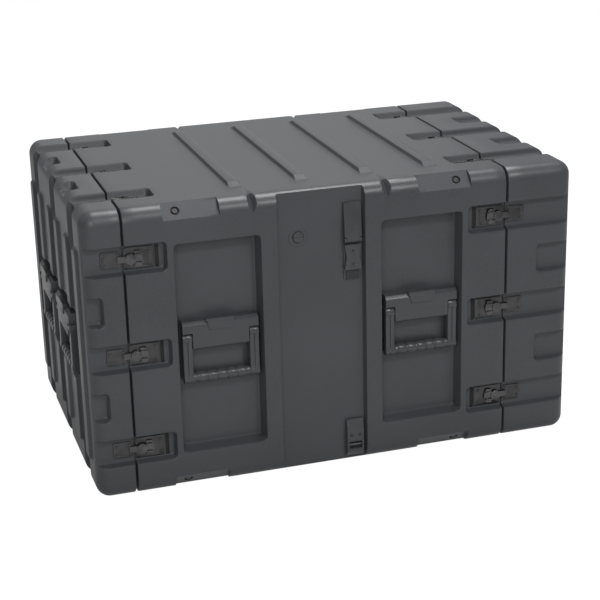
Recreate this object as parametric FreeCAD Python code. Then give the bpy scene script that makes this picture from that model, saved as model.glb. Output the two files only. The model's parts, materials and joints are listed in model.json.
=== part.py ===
import FreeCAD, Part
import math
import os
from FreeCAD import Placement, Rotation, Vector

# Equipment rack case: a moulded plastic sleeve closed by two lift-off lids, with a
# shock-mounted 19 inch steel rack frame inside.
# Units are millimetres.  +X runs along the rack's depth from the shallow front lid to
# the deep rear lid, +Y across the rack, +Z up.  The origin is on the underside of the
# sleeve, midway between its two rims.  The right side is -Y, the left side is +Y.

# ---------------------------------------------------------------- driving dimensions
# Case
SWAY_SPACE = 68.5            # frame to the case's skin, at the sides, top and bottom
RIM_OVERHANG = 11.0          # sleeve's rim past each end of the frame
EDGE_RADIUS = 28.0           # rounding of every long outer edge
WALL = 6.0                   # moulded wall
SEAM_GAP = 4.0               # open joint between the sleeve's rim and a lid's rim
FRONT_LID_DEPTH = 76.0       # rim to end face, without the raised end pads
REAR_LID_DEPTH = 142.0

# Rims: a thick ring at every rim, a tongue on the sleeve, a gasket groove in the lid
RIM_LENGTH = 12.0
RIM_DEPTH = 24.0             # from the outer skin inwards
TONGUE_INSET = 18.0          # outer skin to the tongue's outer side
TONGUE_THICKNESS = 3.0
TONGUE_REACH = 7.0           # past the sleeve's rim
TONGUE_CLEARANCE = 1.0       # tongue to each side of the groove
GROOVE_DEPTH = 8.0
GASKET_THICKNESS = 4.7       # along X
GASKET_SIDE_GAP = 0.2

# Latch channels, in the sides and the top
LATCH_DEPTH = 15.0
LATCH_HALF_WIDTH = 28.5      # at the skin
LATCH_DRAFT = 3.0            # each wall leans in by this much over the depth
LATCH_CHANNEL_LENGTH = 81.0  # from the sleeve's rim to the closed end
LATCH_SIDE_PITCH = 193.5     # between latches up a side
LATCH_TOP_PITCH = 208.0      # between latches across the top

# Side panels, centre bands and handle positions
PANEL_WIDTH = 170.0
PANEL_CENTRE_X = 207.0
PANEL_LOW_Z = 76.0
PANEL_HIGH_Z = 504.0
PANEL_DEPTH = 28.0
PANEL_DRAFT = 5.0
BAND_WIDTH = 177.0
BAND_DEPTH = 15.0
BAND_DRAFT = 2.0

# Stacking ribs on the top and the grooves under the sleeve that take them
RIB_COUNT = 4
RIB_FIRST_X = -148.0
RIB_PITCH = 134.0
RIB_WIDTH = 25.0
RIB_HEIGHT = 8.0
RIB_LENGTH = 482.0
RIB_END_SLOPE = 24.0
RIB_GROOVE_CLEARANCE = 1.5

# Flats across the long edges for the shock-mount bolts, and the strap notches
FLAT_LENGTH = 110.0
FLAT_CENTRE_X = 255.0
BOSS_THICKNESS = 14.0        # moulded thickness behind a flat
NOTCH_X = 135.0
NOTCH_HALF_WIDTH = 9.0
NOTCH_DEPTH = 10.0

# Lid details
LID_POCKET_HALF_WIDTH = 30.0
LID_POCKET_DEPTH = 15.0
LID_POCKET_DRAFT = 4.0
FRONT_POCKET_START = 41.0    # from the lid's rim
REAR_POCKET_START = 65.0
END_CHANNEL_DEPTH = 12.0
END_PAD_HEIGHT = 6.0         # raised strips on the end face
END_PAD_STRIP = 40.0
END_PAD_TOP_Z = 500.0
END_PAD_LOW_Z = 70.0
END_WELL_DEPTH = 13.0        # seat of an end handle below the end face
END_WELL_MARGIN = 5.0

# Spring-free drop handles, one pattern for the sides and the lids
HANDLE_WIDTH = 151.0
HANDLE_PIVOT_Z = 309.0
HANDLE_PIVOT_STANDOFF = 14.0
HANDLE_ABOVE_PIVOT = 35.0
HANDLE_BELOW_PIVOT = 92.0
HANDLE_PLATE = 3.0
HANDLE_BLOCK_DEPTH = 25.0
HANDLE_BLOCK_BEVEL = 6.0
HANDLE_APRON = 22.0          # the housing's face below the pivot
HANDLE_ARM_WIDTH = 18.0
HANDLE_ARM_DEPTH = 18.0
HANDLE_ARM_EYE_RADIUS = 11.0
HANDLE_SIDE_GAP = 1.5
HANDLE_GRIP_RADIUS = 10.5
HANDLE_GRIP_CORE_RADIUS = 9.2
HANDLE_GRIP_DROP = 81.5      # pivot to the grip's centre
HANDLE_GRIP_SEGMENTS = 5
HANDLE_GRIP_SEGMENT = 17.0
HANDLE_GRIP_SEGMENT_GAP = 3.0
HANDLE_TRUNNION_RADIUS = 4.0
HANDLE_TRUNNION_LENGTH = 14.0
HANDLE_TAB_TOP_WIDTH = 57.0
HANDLE_TAB_LOW_WIDTH = 43.0
HANDLE_TAB_HEIGHT = 22.0
HANDLE_TAB_RISE = 4.0        # above the housing's top
HANDLE_TAB_PROUD = 2.5
HANDLE_SCREW_RADIUS = 2.5
HANDLE_SCREW_HEAD_RADIUS = 5.0
HANDLE_SCREW_HEAD = 3.0
HANDLE_SCREW_BITE = 12.0     # into the housing
HANDLE_SCREW_SPREAD = 45.0   # each side of the handle's centre
HANDLE_SCREW_HEIGHT = 24.0   # above the pivot

# Twist latches
LATCH_HUB_FROM_RIM = 13.0
LATCH_PLATE_LENGTH = 59.0
LATCH_PLATE_HALF_WIDTH = 21.0
LATCH_PLATE_RIM_GAP = 0.5
LATCH_PLATE = 2.0
LATCH_BOSS_RADIUS = 9.0
LATCH_BOSS_HEIGHT = 2.0
LATCH_STEM_RADIUS = 4.0
LATCH_HUB_RADIUS = 10.5
LATCH_HUB_HEIGHT = 4.5
LATCH_WING_REACH = 25.0
LATCH_WING_HALF_WIDTH = 15.0
LATCH_WING_INNER = 8.0
LATCH_WING_THICKNESS = 2.5
LATCH_GRIP_BAR_HEIGHT = 3.0
LATCH_GRIP_BAR_WIDTH = 3.0
LATCH_GRIP_BAR_OFFSET = 8.0
LATCH_NOSE_HALF_WIDTH = 6.0
LATCH_NOSE_THICKNESS = 2.0
LATCH_RIVET_X = 50.0         # rivet line from the sleeve's rim
LATCH_RIVET_SPREAD = 14.0
KEEPER_LENGTH = 38.0
KEEPER_RIM_GAP = 1.5
KEEPER_HALF_WIDTH = 16.0
KEEPER_PLATE = 2.0
KEEPER_RIDGE_HEIGHT = 1.9
KEEPER_RIDGE_LENGTH = 4.0
KEEPER_RIDGE_OFFSET = 3.5
KEEPER_RIVET_X = 34.0        # from the lid's rim
KEEPER_RIVET_SPREAD = 8.5
RIVET_RADIUS = 1.6
RIVET_HEAD_RADIUS = 3.0
RIVET_HEAD = 1.4

# Running and assembly clearances
RUNNING_CLEARANCE = 0.05     # radial, pins and stems in their bores
TURNING_GAP = 0.2            # axial, a turning piece above its seat
SCREW_CLEARANCE = 0.2        # radial, screws and rivets in their holes
SEAL_GAP = 0.3               # tongue to gasket

# Rack frame: nine rack units of 44.45 between 19 inch rails
RACK_UNITS = 9
RACK_UNIT = 44.45
RACK_HOLE_SPACING = 465.1    # across the rack
RACK_HOLE_RADIUS = 3.0
RACK_HOLE_OFFSETS = (6.35, 22.225, 38.1)   # in each rack unit, from its lower edge
RACK_OPENING = 450.0
FRAME_WIDTH = 500.0
FRAME_LENGTH = 750.0
FRAME_BAR_HEIGHT = 16.0
FRAME_BAR_WIDTH = 30.0
FRAME_POST_LENGTH = 30.0
FRAME_POST_WIDTH = 20.0
FRAME_RAIL_GAP = 5.475       # bar to each end of a rail
FRAME_POST_SETBACK = 15.0    # from the frame's end to the post
FRAME_TUBE_WALL = 2.0
RAIL_OVERHANG = 6.0          # rail's face past the frame's end
RAIL_THICKNESS = 3.0
RAIL_WEB_LENGTH = 46.0
RAIL_SCREW_RADIUS = 3.0
RAIL_SCREW_HEAD_RADIUS = 5.5
RAIL_SCREW_HEAD = 1.6
RAIL_SCREW_COUNT = 4

# Shock mounts, at 45 degrees in the four long corners
MOUNT_X = 283.0
MOUNT_RADIUS = 19.0
MOUNT_WAIST_RADIUS = 15.0
MOUNT_FLANGE = 5.0
MOUNT_STUD_RADIUS = 4.0
MOUNT_STUD_LENGTH = 13.0
MOUNT_BOLT_HEAD_RADIUS = 7.0
MOUNT_BOLT_HEAD = 4.5
MOUNT_BOLT_BITE = 14.0
MOUNT_COUNTERBORE_RADIUS = 9.0
MOUNT_COUNTERBORE_DEPTH = 5.0
GUSSET_LENGTH = 56.0
GUSSET_HALF_WIDTH = 22.0
GUSSET_PLATE = 4.0
GUSSET_RISE = 17.0           # gusset's outer face above the frame's corner
NUT_ACROSS_FLATS = 13.0
NUT_THICKNESS = 6.5

# Pressure valve
VALVE_X = -44.0
VALVE_Z = 486.0
VALVE_RADIUS = 20.0
VALVE_SEAT_DEPTH = 3.0
VALVE_FLANGE = 4.0
VALVE_STEM_RADIUS = 12.0
VALVE_STEM_BEYOND_WALL = 10.0
VALVE_BORE_RADIUS = 5.0
VALVE_KNOB_RADIUS = 10.5
VALVE_KNOB_HEIGHT = 5.0
VALVE_KNOB_STEM_LENGTH = 8.0
VALVE_KNOB_SINK = 2.0

# Tie-down buckle and its anchor
TIE_X = 65.0
TIE_WIDTH = 35.0
TIE_TOP_Z = 546.0
TIE_PIVOT_Z = 470.0
TIE_BLOCK_TOP_Z = 461.0
TIE_BLOCK_LOW_Z = 410.0
TIE_LOW_Z = 389.0
TIE_PLATE = 2.0
TIE_BLOCK_DEPTH = 10.0
TIE_BLOCK_WAIST = 4.0        # how far each side of the block is drawn in
TIE_RIVET_MARGIN = 12.0      # rivet's distance from the block's edge
TIE_EAR = 3.5
TIE_EAR_RADIUS = 5.0
TIE_PIN_RADIUS = 2.0
TIE_LEVER_TIP_DEPTH = 5.0
TIE_LEVER_ROOT_DEPTH = 10.0
TIE_WEB_WIDTH = 26.0
TIE_WEB_THICKNESS = 2.0
TIE_WEB_TUCK = 9.0           # how far the webbing runs up into the block
ANCHOR_WIDTH = 35.0
ANCHOR_X = 64.5
ANCHOR_TOP_Z = 90.0
ANCHOR_LOW_Z = 12.0
ANCHOR_DEPTH = 12.0
ANCHOR_SLOT_LOW_Z = 27.0
ANCHOR_SLOT_TOP_Z = 43.0
ANCHOR_PLATE = 2.5
ANCHOR_SLOPE = 19.0          # height of the thinned top
ANCHOR_FOOT = 8.0            # height of the thinned foot
ANCHOR_RIVET_Z = 57.0
ANCHOR_RIVET_SPREAD = 9.0
ANCHOR_CHEEK = 4.0
ANCHOR_PIN_RADIUS = 3.0
ANCHOR_PIN_HEIGHT = 7.5      # pin's centre over the band

# ---------------------------------------------------------------- derived sizes
FRAME_HEIGHT = RACK_UNITS * RACK_UNIT + 2 * (FRAME_BAR_HEIGHT + FRAME_RAIL_GAP)
CASE_WIDTH = FRAME_WIDTH + 2 * SWAY_SPACE
CASE_HEIGHT = FRAME_HEIGHT + 2 * SWAY_SPACE
BODY_LENGTH = FRAME_LENGTH + 2 * RIM_OVERHANG
RAIL_FACE_X = FRAME_LENGTH / 2 + RAIL_OVERHANG
HALF_WIDTH = CASE_WIDTH / 2
HALF_LENGTH = BODY_LENGTH / 2
MID_Z = CASE_HEIGHT / 2
LID_RIM_X = HALF_LENGTH + SEAM_GAP
OVERCUT = 2.0                # how far a cutting solid stands out of the face it cuts
SIDE_LATCH_Z = [MID_Z - LATCH_SIDE_PITCH, MID_Z, MID_Z + LATCH_SIDE_PITCH]
TOP_LATCH_Y = [-LATCH_TOP_PITCH, 0.0, LATCH_TOP_PITCH]
RIB_X = [RIB_FIRST_X + k * RIB_PITCH for k in range(RIB_COUNT)]
END_HANDLE_Y = [-LATCH_TOP_PITCH / 2, LATCH_TOP_PITCH / 2]
BAND_Y = HALF_WIDTH - BAND_DEPTH
# At 45 degrees, from a flat's plane down to the frame's corner
CORNER_DEPTH = (SWAY_SPACE - EDGE_RADIUS / 2) * math.sqrt(2)
MOUNT_LENGTH = CORNER_DEPTH - BOSS_THICKNESS - GUSSET_RISE
LATCH_FACE_HEIGHT = LATCH_PLATE + LATCH_BOSS_HEIGHT + TURNING_GAP
X_AXIS = Vector(1, 0, 0)
Y_AXIS = Vector(0, 1, 0)
Z_AXIS = Vector(0, 0, 1)
ORIGIN = Vector(0, 0, 0)


# ---------------------------------------------------------------- shape helpers
def block(x0, x1, y0, y1, z0, z1):
    return Part.makeBox(x1 - x0, y1 - y0, z1 - z0, Vector(x0, y0, z0))


def disc(radius, z0, z1, x=0.0, y=0.0):
    """Upright cylinder from z0 to z1."""
    return Part.makeCylinder(radius, z1 - z0, Vector(x, y, z0), Z_AXIS)


def rod_x(radius, x0, x1, y, z):
    return Part.makeCylinder(radius, x1 - x0, Vector(x0, y, z), X_AXIS)


def prism_x(points, x0, x1):
    """Prism along X over a closed outline of (y, z) points."""
    corners = [Vector(x0, y, z) for y, z in points]
    face = Part.Face(Part.makePolygon(corners + corners[:1]))
    return face.extrude(Vector(x1 - x0, 0, 0))


def join(shapes):
    if len(shapes) == 1:
        return shapes[0]
    return shapes[0].multiFuse(shapes[1:]).removeSplitter()


def moved(shape, x=0.0, y=0.0, z=0.0):
    result = shape.copy()
    result.translate(Vector(x, y, z))
    return result


def turned(shape, axis, degrees):
    result = shape.copy()
    result.rotate(ORIGIN, axis, degrees)
    return result


def mirrored(shape, normal):
    return shape.mirror(ORIGIN, normal)


def pocket(x0, x1, v0, v1, depth, draft, over=OVERCUT):
    """Drafted pocket: mouth x0..x1 by v0..v1 on z = 0, floor at z = -depth."""
    def outline(z):
        lean = draft * -z / depth
        corners = [
            Vector(x0 + lean, v0 + lean, z),
            Vector(x1 - lean, v0 + lean, z),
            Vector(x1 - lean, v1 - lean, z),
            Vector(x0 + lean, v1 - lean, z),
        ]
        return Part.makePolygon(corners + corners[:1])
    return Part.makeLoft([outline(over), outline(-depth)], True, True)


def pan(x0, x1, v0, v1, depth, draft):
    """The moulded skin around a pocket, filled in: the pocket grown by one wall."""
    grow = WALL
    return pocket(x0 - grow, x1 + grow, v0 - grow, v1 + grow, depth + grow, draft, 0.0)


def on_top(shape, y=0.0):
    return moved(shape, 0.0, y, CASE_HEIGHT)


def on_right(shape, z=0.0):
    """From a face looking +Z to the case's right side, which looks -Y."""
    return moved(turned(shape, X_AXIS, 90), 0.0, -HALF_WIDTH, z)


def on_left(shape, z=0.0):
    return mirrored(on_right(shape, z), Y_AXIS)


def case_box(x0, x1, inset, closed=False):
    """Box with the case's outline less an inset; a closed one is rounded at x1 too."""
    body = block(x0, x1, inset - HALF_WIDTH, HALF_WIDTH - inset, inset, CASE_HEIGHT - inset)
    radius = max(EDGE_RADIUS - inset, 1.0)
    edges = []
    for edge in body.Edges:
        box = edge.BoundBox
        if box.XLength > 1.0 or (closed and box.XMin > x1 - 1e-6):
            edges.append(edge)
    return body.makeFillet(radius, edges)


def case_ring(x0, x1, inset_out, inset_in):
    """Ring around the case's outline between two insets."""
    hole = case_box(x0 - OVERCUT, x1 + OVERCUT, inset_in)
    return case_box(x0, x1, inset_out).cut(hole)


def corner_frame(shape, side, top, x):
    """From +Z to the outward 45 degree direction of a long edge, at the flat's centre."""
    away = EDGE_RADIUS / 2
    angle = 45.0 if top else 135.0
    result = turned(shape, X_AXIS, side * -angle)
    z = CASE_HEIGHT - away if top else away
    return moved(result, x, side * (HALF_WIDTH - away), z)


def corners():
    """The side and the height of each of the four long edges."""
    return [(side, top) for side in (-1, 1) for top in (True, False)]


def mount_places():
    return [(side, top, x) for side, top in corners() for x in (-MOUNT_X, MOUNT_X)]


# ---------------------------------------------------------------- body sleeve
def body_recesses():
    """Every moulded recess of the sleeve, as pairs of its cut and its skin."""
    pairs = []

    def add(place, where, *sizes):
        pairs.append((place(pocket(*sizes), where), place(pan(*sizes), where)))

    half = LATCH_HALF_WIDTH
    inner = HALF_LENGTH - LATCH_CHANNEL_LENGTH
    outer = HALF_LENGTH + LATCH_DEPTH
    for x0, x1 in ((inner, outer), (-outer, -inner)):
        sizes = (x0, x1, -half, half, LATCH_DEPTH, LATCH_DRAFT)
        for z in SIDE_LATCH_Z:
            add(on_right, z, *sizes)
            add(on_left, z, *sizes)
        for y in TOP_LATCH_Y:
            add(on_top, y, *sizes)
    for centre in (-PANEL_CENTRE_X, PANEL_CENTRE_X):
        x0 = centre - PANEL_WIDTH / 2
        sizes = (x0, x0 + PANEL_WIDTH, PANEL_LOW_Z, PANEL_HIGH_Z, PANEL_DEPTH, PANEL_DRAFT)
        add(on_right, 0.0, *sizes)
        add(on_left, 0.0, *sizes)
    beyond = BAND_DEPTH + WALL
    sizes = (-BAND_WIDTH / 2, BAND_WIDTH / 2, -beyond, CASE_HEIGHT + beyond, BAND_DEPTH, BAND_DRAFT)
    add(on_right, 0.0, *sizes)
    add(on_left, 0.0, *sizes)
    return pairs


def rib_outline(grow):
    """Side view of a stacking rib, standing on z = 0."""
    half = RIB_LENGTH / 2 + grow
    flat = half - RIB_END_SLOPE
    return [(-half, 0.0), (half, 0.0), (flat, RIB_HEIGHT + grow), (-flat, RIB_HEIGHT + grow)]


def top_ribs():
    ribs = []
    for x in RIB_X:
        rib = prism_x(rib_outline(0.0), x - RIB_WIDTH / 2, x + RIB_WIDTH / 2)
        ribs.append(moved(rib, z=CASE_HEIGHT))
    return ribs


def stacking_grooves(grow):
    half = RIB_WIDTH / 2 + grow
    return [prism_x(rib_outline(grow), x - half, x + half) for x in RIB_X]


def corner_block(x0, x1, low, high):
    """Slab across a long edge, in the corner frame's directions."""
    return block(x0, x1, -EDGE_RADIUS - WALL, EDGE_RADIUS + WALL, low, high)


def corner_bosses():
    """Solid moulding behind the flats and the strap notches."""
    bosses = []
    half = FLAT_LENGTH / 2 + WALL
    for side, top in corners():
        for x in (-FLAT_CENTRE_X, FLAT_CENTRE_X):
            slab = corner_block(-half, half, -BOSS_THICKNESS, EDGE_RADIUS)
            bosses.append(corner_frame(slab, side, top, x))
        for x in (-NOTCH_X, NOTCH_X):
            reach = NOTCH_HALF_WIDTH + WALL
            slab = corner_block(-reach, reach, -BOSS_THICKNESS, EDGE_RADIUS)
            bosses.append(corner_frame(slab, side, True, x))
    return bosses


def corner_cuts():
    cuts = []
    half = FLAT_LENGTH / 2
    for side, top in corners():
        for x in (-FLAT_CENTRE_X, FLAT_CENTRE_X):
            cuts.append(corner_frame(corner_block(-half, half, 0.0, EDGE_RADIUS), side, top, x))
    crest = EDGE_RADIUS * (1 - 1 / math.sqrt(2))     # rounded edge above the flat's plane
    bottom = crest - NOTCH_DEPTH
    rise = 2 * NOTCH_DEPTH
    wide = NOTCH_HALF_WIDTH * rise / NOTCH_DEPTH
    reach = EDGE_RADIUS + WALL
    points = [(0.0, bottom), (wide, bottom + rise), (-wide, bottom + rise)]
    vee = turned(prism_x(points, -reach, reach), Z_AXIS, 90)
    for side in (-1, 1):
        for x in (-NOTCH_X, NOTCH_X):
            cuts.append(corner_frame(vee, side, True, x))
    return cuts


def mount_holes():
    holes = []
    for side, top, x in mount_places():
        bore = disc(MOUNT_STUD_RADIUS + SCREW_CLEARANCE, -BOSS_THICKNESS - OVERCUT, OVERCUT)
        seat = disc(MOUNT_COUNTERBORE_RADIUS, -MOUNT_COUNTERBORE_DEPTH, OVERCUT)
        holes.append(corner_frame(bore.fuse(seat), side, top, x))
    return holes


def latch_places():
    """Name, end, face and position of the eighteen latches."""
    places = []
    for end, word in ((-1, "front"), (1, "rear")):
        for face in ("right", "left"):
            for z, level in zip(SIDE_LATCH_Z, ("low", "mid", "high")):
                places.append((word + "_" + face + "_" + level, end, face, z))
        for y, column in zip(TOP_LATCH_Y, ("right", "mid", "left")):
            places.append((word + "_top_" + column, end, "top", y))
    return places


def place_latch(shape, place):
    """From the rim's frame, outward +Z and across the seam +X, to a latch channel.

    The frame's origin is on the channel's floor at the sleeve's rim."""
    _, end, face, position = place
    result = moved(shape, z=-LATCH_DEPTH)
    if end < 0:
        result = turned(result, Z_AXIS, 180)
    result = moved(result, end * HALF_LENGTH)
    faces = {"right": on_right, "left": on_left, "top": on_top}
    return faces[face](result, position)


def latch_rivet_points():
    """Places of a latch's rivets in the rim's frame."""
    return [(-LATCH_RIVET_X, v) for v in (-LATCH_RIVET_SPREAD, LATCH_RIVET_SPREAD)]


def keeper_rivet_points():
    x = SEAM_GAP + KEEPER_RIVET_X
    return [(x, v) for v in (-KEEPER_RIVET_SPREAD, KEEPER_RIVET_SPREAD)]


def side_handle_places():
    """Name, side and X of the four side handles."""
    places = []
    for side, word in ((-1, "right"), (1, "left")):
        places.append((word + "_front", side, -PANEL_CENTRE_X))
        places.append((word + "_rear", side, PANEL_CENTRE_X))
    return places


def place_side_handle(shape, side, x):
    """From the handle's own frame, outward +Z and up +Y, to a side panel."""
    result = moved(turned(shape, X_AXIS, 90), 0.0, PANEL_DEPTH - HALF_WIDTH, HANDLE_PIVOT_Z)
    if side > 0:
        result = turned(result, Z_AXIS, 180)
    return moved(result, x)


def handle_screw_places():
    spread = HANDLE_SCREW_SPREAD
    return [(u, v) for u in (-spread, spread) for v in (HANDLE_SCREW_HEIGHT, -8.0)]


def handle_screw_holes():
    radius = HANDLE_SCREW_RADIUS + SCREW_CLEARANCE
    return [disc(radius, -WALL - OVERCUT, OVERCUT, u, v) for u, v in handle_screw_places()]


def band_rivet_points():
    """X and Z of the rivets that hold the tie-down buckle and its anchor."""
    return [
        (TIE_X, TIE_BLOCK_LOW_Z + TIE_RIVET_MARGIN),
        (TIE_X, TIE_BLOCK_TOP_Z - TIE_RIVET_MARGIN),
        (ANCHOR_X - ANCHOR_RIVET_SPREAD, ANCHOR_RIVET_Z),
        (ANCHOR_X + ANCHOR_RIVET_SPREAD, ANCHOR_RIVET_Z),
    ]


def on_band(shape, x, z):
    """From a face looking +Z, up +Y, to the right side's centre band."""
    return moved(turned(shape, X_AXIS, 90), x, -BAND_Y, z)


def make_body_shell():
    outer = case_box(-HALF_LENGTH, HALF_LENGTH, 0.0)
    hollow = case_box(-HALF_LENGTH - OVERCUT, HALF_LENGTH + OVERCUT, WALL)
    pairs = body_recesses()
    skins = [skin for _, skin in pairs] + corner_bosses() + stacking_grooves(WALL)
    lining = outer.common(join(skins))
    walls = [outer.cut(hollow), lining] + top_ribs()
    for x0 in (-HALF_LENGTH, HALF_LENGTH - RIM_LENGTH):
        walls.append(case_ring(x0, x0 + RIM_LENGTH, 0.0, RIM_DEPTH))
    tongue_in = TONGUE_INSET + TONGUE_THICKNESS
    for x0 in (-HALF_LENGTH - TONGUE_REACH, HALF_LENGTH - WALL):
        walls.append(case_ring(x0, x0 + TONGUE_REACH + WALL, TONGUE_INSET, tongue_in))
    shell = join(walls)
    cuts = [cut for cut, _ in pairs] + corner_cuts() + stacking_grooves(RIB_GROOVE_CLEARANCE)
    return shell.cut(cuts).cut(body_holes())


def body_holes():
    holes = mount_holes()
    radius = RIVET_RADIUS + SCREW_CLEARANCE
    for place in latch_places():
        for u, v in latch_rivet_points():
            hole = disc(radius, -WALL - OVERCUT, OVERCUT, u, v)
            holes.append(place_latch(hole, place))
    for _, side, x in side_handle_places():
        for hole in handle_screw_holes():
            holes.append(place_side_handle(hole, side, x))
    for x, z in band_rivet_points():
        holes.append(on_band(disc(radius, -WALL - OVERCUT, OVERCUT), x, z))
    seat = disc(VALVE_RADIUS + SCREW_CLEARANCE, -VALVE_SEAT_DEPTH, OVERCUT)
    bore = disc(VALVE_STEM_RADIUS + SCREW_CLEARANCE, -WALL - OVERCUT, OVERCUT)
    holes.append(on_band(seat.fuse(bore), VALVE_X, VALVE_Z))
    return holes


# ---------------------------------------------------------------- lids
def lid_end_frame(shape, depth, y=0.0, z=0.0):
    """From outward +Z, across +X and up +Y, to a lid's end face, which looks +X."""
    result = shape.copy()
    result.Placement = Placement(Vector(depth, y, z), Rotation(Vector(1, 1, 1), 120)).multiply(
        result.Placement)
    return result


def lid_recesses(depth, pocket_start):
    """Cuts and skins of a lid that opens at X = 0 and ends at X = depth."""
    pairs = []

    def add(place, where, *sizes):
        pairs.append((place(pocket(*sizes), where), place(pan(*sizes), where)))

    half = LATCH_HALF_WIDTH
    beyond = depth + LATCH_DEPTH + WALL
    channel = (-LATCH_DEPTH, beyond, -half, half, LATCH_DEPTH, LATCH_DRAFT)
    for z in SIDE_LATCH_Z:
        add(on_right, z, *channel)
        add(on_left, z, *channel)
    for y in TOP_LATCH_Y:
        add(on_top, y, *channel)
    half = LID_POCKET_HALF_WIDTH
    corner = (pocket_start, beyond, -half, half, LID_POCKET_DEPTH, LID_POCKET_DRAFT)
    for z in (MID_Z - LATCH_SIDE_PITCH / 2, MID_Z + LATCH_SIDE_PITCH / 2):
        add(on_right, z, *corner)
        add(on_left, z, *corner)
    for y in END_HANDLE_Y:
        add(on_top, y, *corner)

    def add_end(y, *sizes):
        cut = lid_end_frame(pocket(*sizes, END_PAD_HEIGHT + OVERCUT), depth, y)
        pairs.append((cut, lid_end_frame(pan(*sizes), depth, y)))

    half = LATCH_HALF_WIDTH
    for y in TOP_LATCH_Y:
        tall = CASE_HEIGHT + END_CHANNEL_DEPTH + WALL
        add_end(y, -half, half, -OVERCUT, tall, END_CHANNEL_DEPTH, LATCH_DRAFT)
    low = HANDLE_PIVOT_Z - HANDLE_BELOW_PIVOT - END_WELL_MARGIN
    high = HANDLE_PIVOT_Z + HANDLE_ABOVE_PIVOT + HANDLE_TAB_RISE + END_WELL_MARGIN
    for y in END_HANDLE_Y:
        half = HANDLE_WIDTH / 2 + HANDLE_SIDE_GAP
        add_end(y, -half, half, low, high, END_WELL_DEPTH, 1.0)
    return pairs


def end_pads(depth):
    """Raised strips on the end face, beside the channels and at the corners."""
    pads = []
    for y in TOP_LATCH_Y:
        for side in (-1, 1):
            inner = y + side * LATCH_HALF_WIDTH
            outer = inner + side * END_PAD_STRIP
            limit = HALF_WIDTH - EDGE_RADIUS / 2
            y0, y1 = sorted((inner, outer))
            pad = pocket(max(y0, -limit) - 0.01, min(y1, limit), END_PAD_LOW_Z, END_PAD_TOP_Z,
                         END_PAD_HEIGHT, -2.0, 0.0)
            pads.append(lid_end_frame(moved(pad, z=END_PAD_HEIGHT), depth))
    return pads


def make_lid_shell(depth, pocket_start):
    outer = case_box(0.0, depth, 0.0, True)
    hollow = case_box(-OVERCUT, depth - WALL, WALL, True)
    pairs = lid_recesses(depth, pocket_start)
    lining = outer.common(join([skin for _, skin in pairs]))
    walls = [outer.cut(hollow), lining, case_ring(0.0, RIM_LENGTH, 0.0, RIM_DEPTH)]
    shell = join(walls + end_pads(depth))
    groove_out = TONGUE_INSET - TONGUE_CLEARANCE
    groove_in = TONGUE_INSET + TONGUE_THICKNESS + TONGUE_CLEARANCE
    groove = case_ring(-OVERCUT, GROOVE_DEPTH, groove_out, groove_in)
    return shell.cut([cut for cut, _ in pairs] + [groove]).cut(lid_holes(depth))


def lid_holes(depth):
    holes = []
    radius = RIVET_RADIUS + SCREW_CLEARANCE
    for place in latch_places():
        if place[1] > 0:
            for u, v in keeper_rivet_points():
                hole = place_latch(disc(radius, -WALL - OVERCUT, OVERCUT, u, v), place)
                holes.append(moved(hole, -LID_RIM_X))
    for y in END_HANDLE_Y:
        for hole in handle_screw_holes():
            holes.append(place_end_handle(hole, depth, y))
    return holes


def place_end_handle(shape, depth, y):
    return lid_end_frame(shape, depth - END_WELL_DEPTH, y, HANDLE_PIVOT_Z)


def to_lid(shape, end):
    """From a lid's own frame to its place on the case."""
    result = moved(shape, LID_RIM_X)
    if end < 0:
        result = mirrored(result, X_AXIS)
    return result


def make_gasket():
    outside = TONGUE_INSET - TONGUE_CLEARANCE + GASKET_SIDE_GAP
    inside = TONGUE_INSET + TONGUE_THICKNESS + TONGUE_CLEARANCE - GASKET_SIDE_GAP
    return case_ring(GROOVE_DEPTH - GASKET_THICKNESS, GROOVE_DEPTH, outside, inside)


# ---------------------------------------------------------------- latches and keepers
def make_latch_base():
    """Riveted base plate with the boss that the latch's stem turns in."""
    x1 = -LATCH_PLATE_RIM_GAP
    half = LATCH_PLATE_HALF_WIDTH
    plate = block(x1 - LATCH_PLATE_LENGTH, x1, -half, half, 0.0, LATCH_PLATE)
    plate = plate.makeFillet(4.0, [e for e in plate.Edges if e.BoundBox.ZLength > 1.0])
    top = LATCH_PLATE + LATCH_BOSS_HEIGHT
    boss = disc(LATCH_BOSS_RADIUS, 0.0, top, -LATCH_HUB_FROM_RIM)
    bore = disc(LATCH_STEM_RADIUS + RUNNING_CLEARANCE, -OVERCUT, top + OVERCUT, -LATCH_HUB_FROM_RIM)
    holes = [disc(RIVET_RADIUS + SCREW_CLEARANCE, -OVERCUT, top, u, v)
             for u, v in latch_rivet_points()]
    return join([plate, boss]).cut([bore] + holes)


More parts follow.
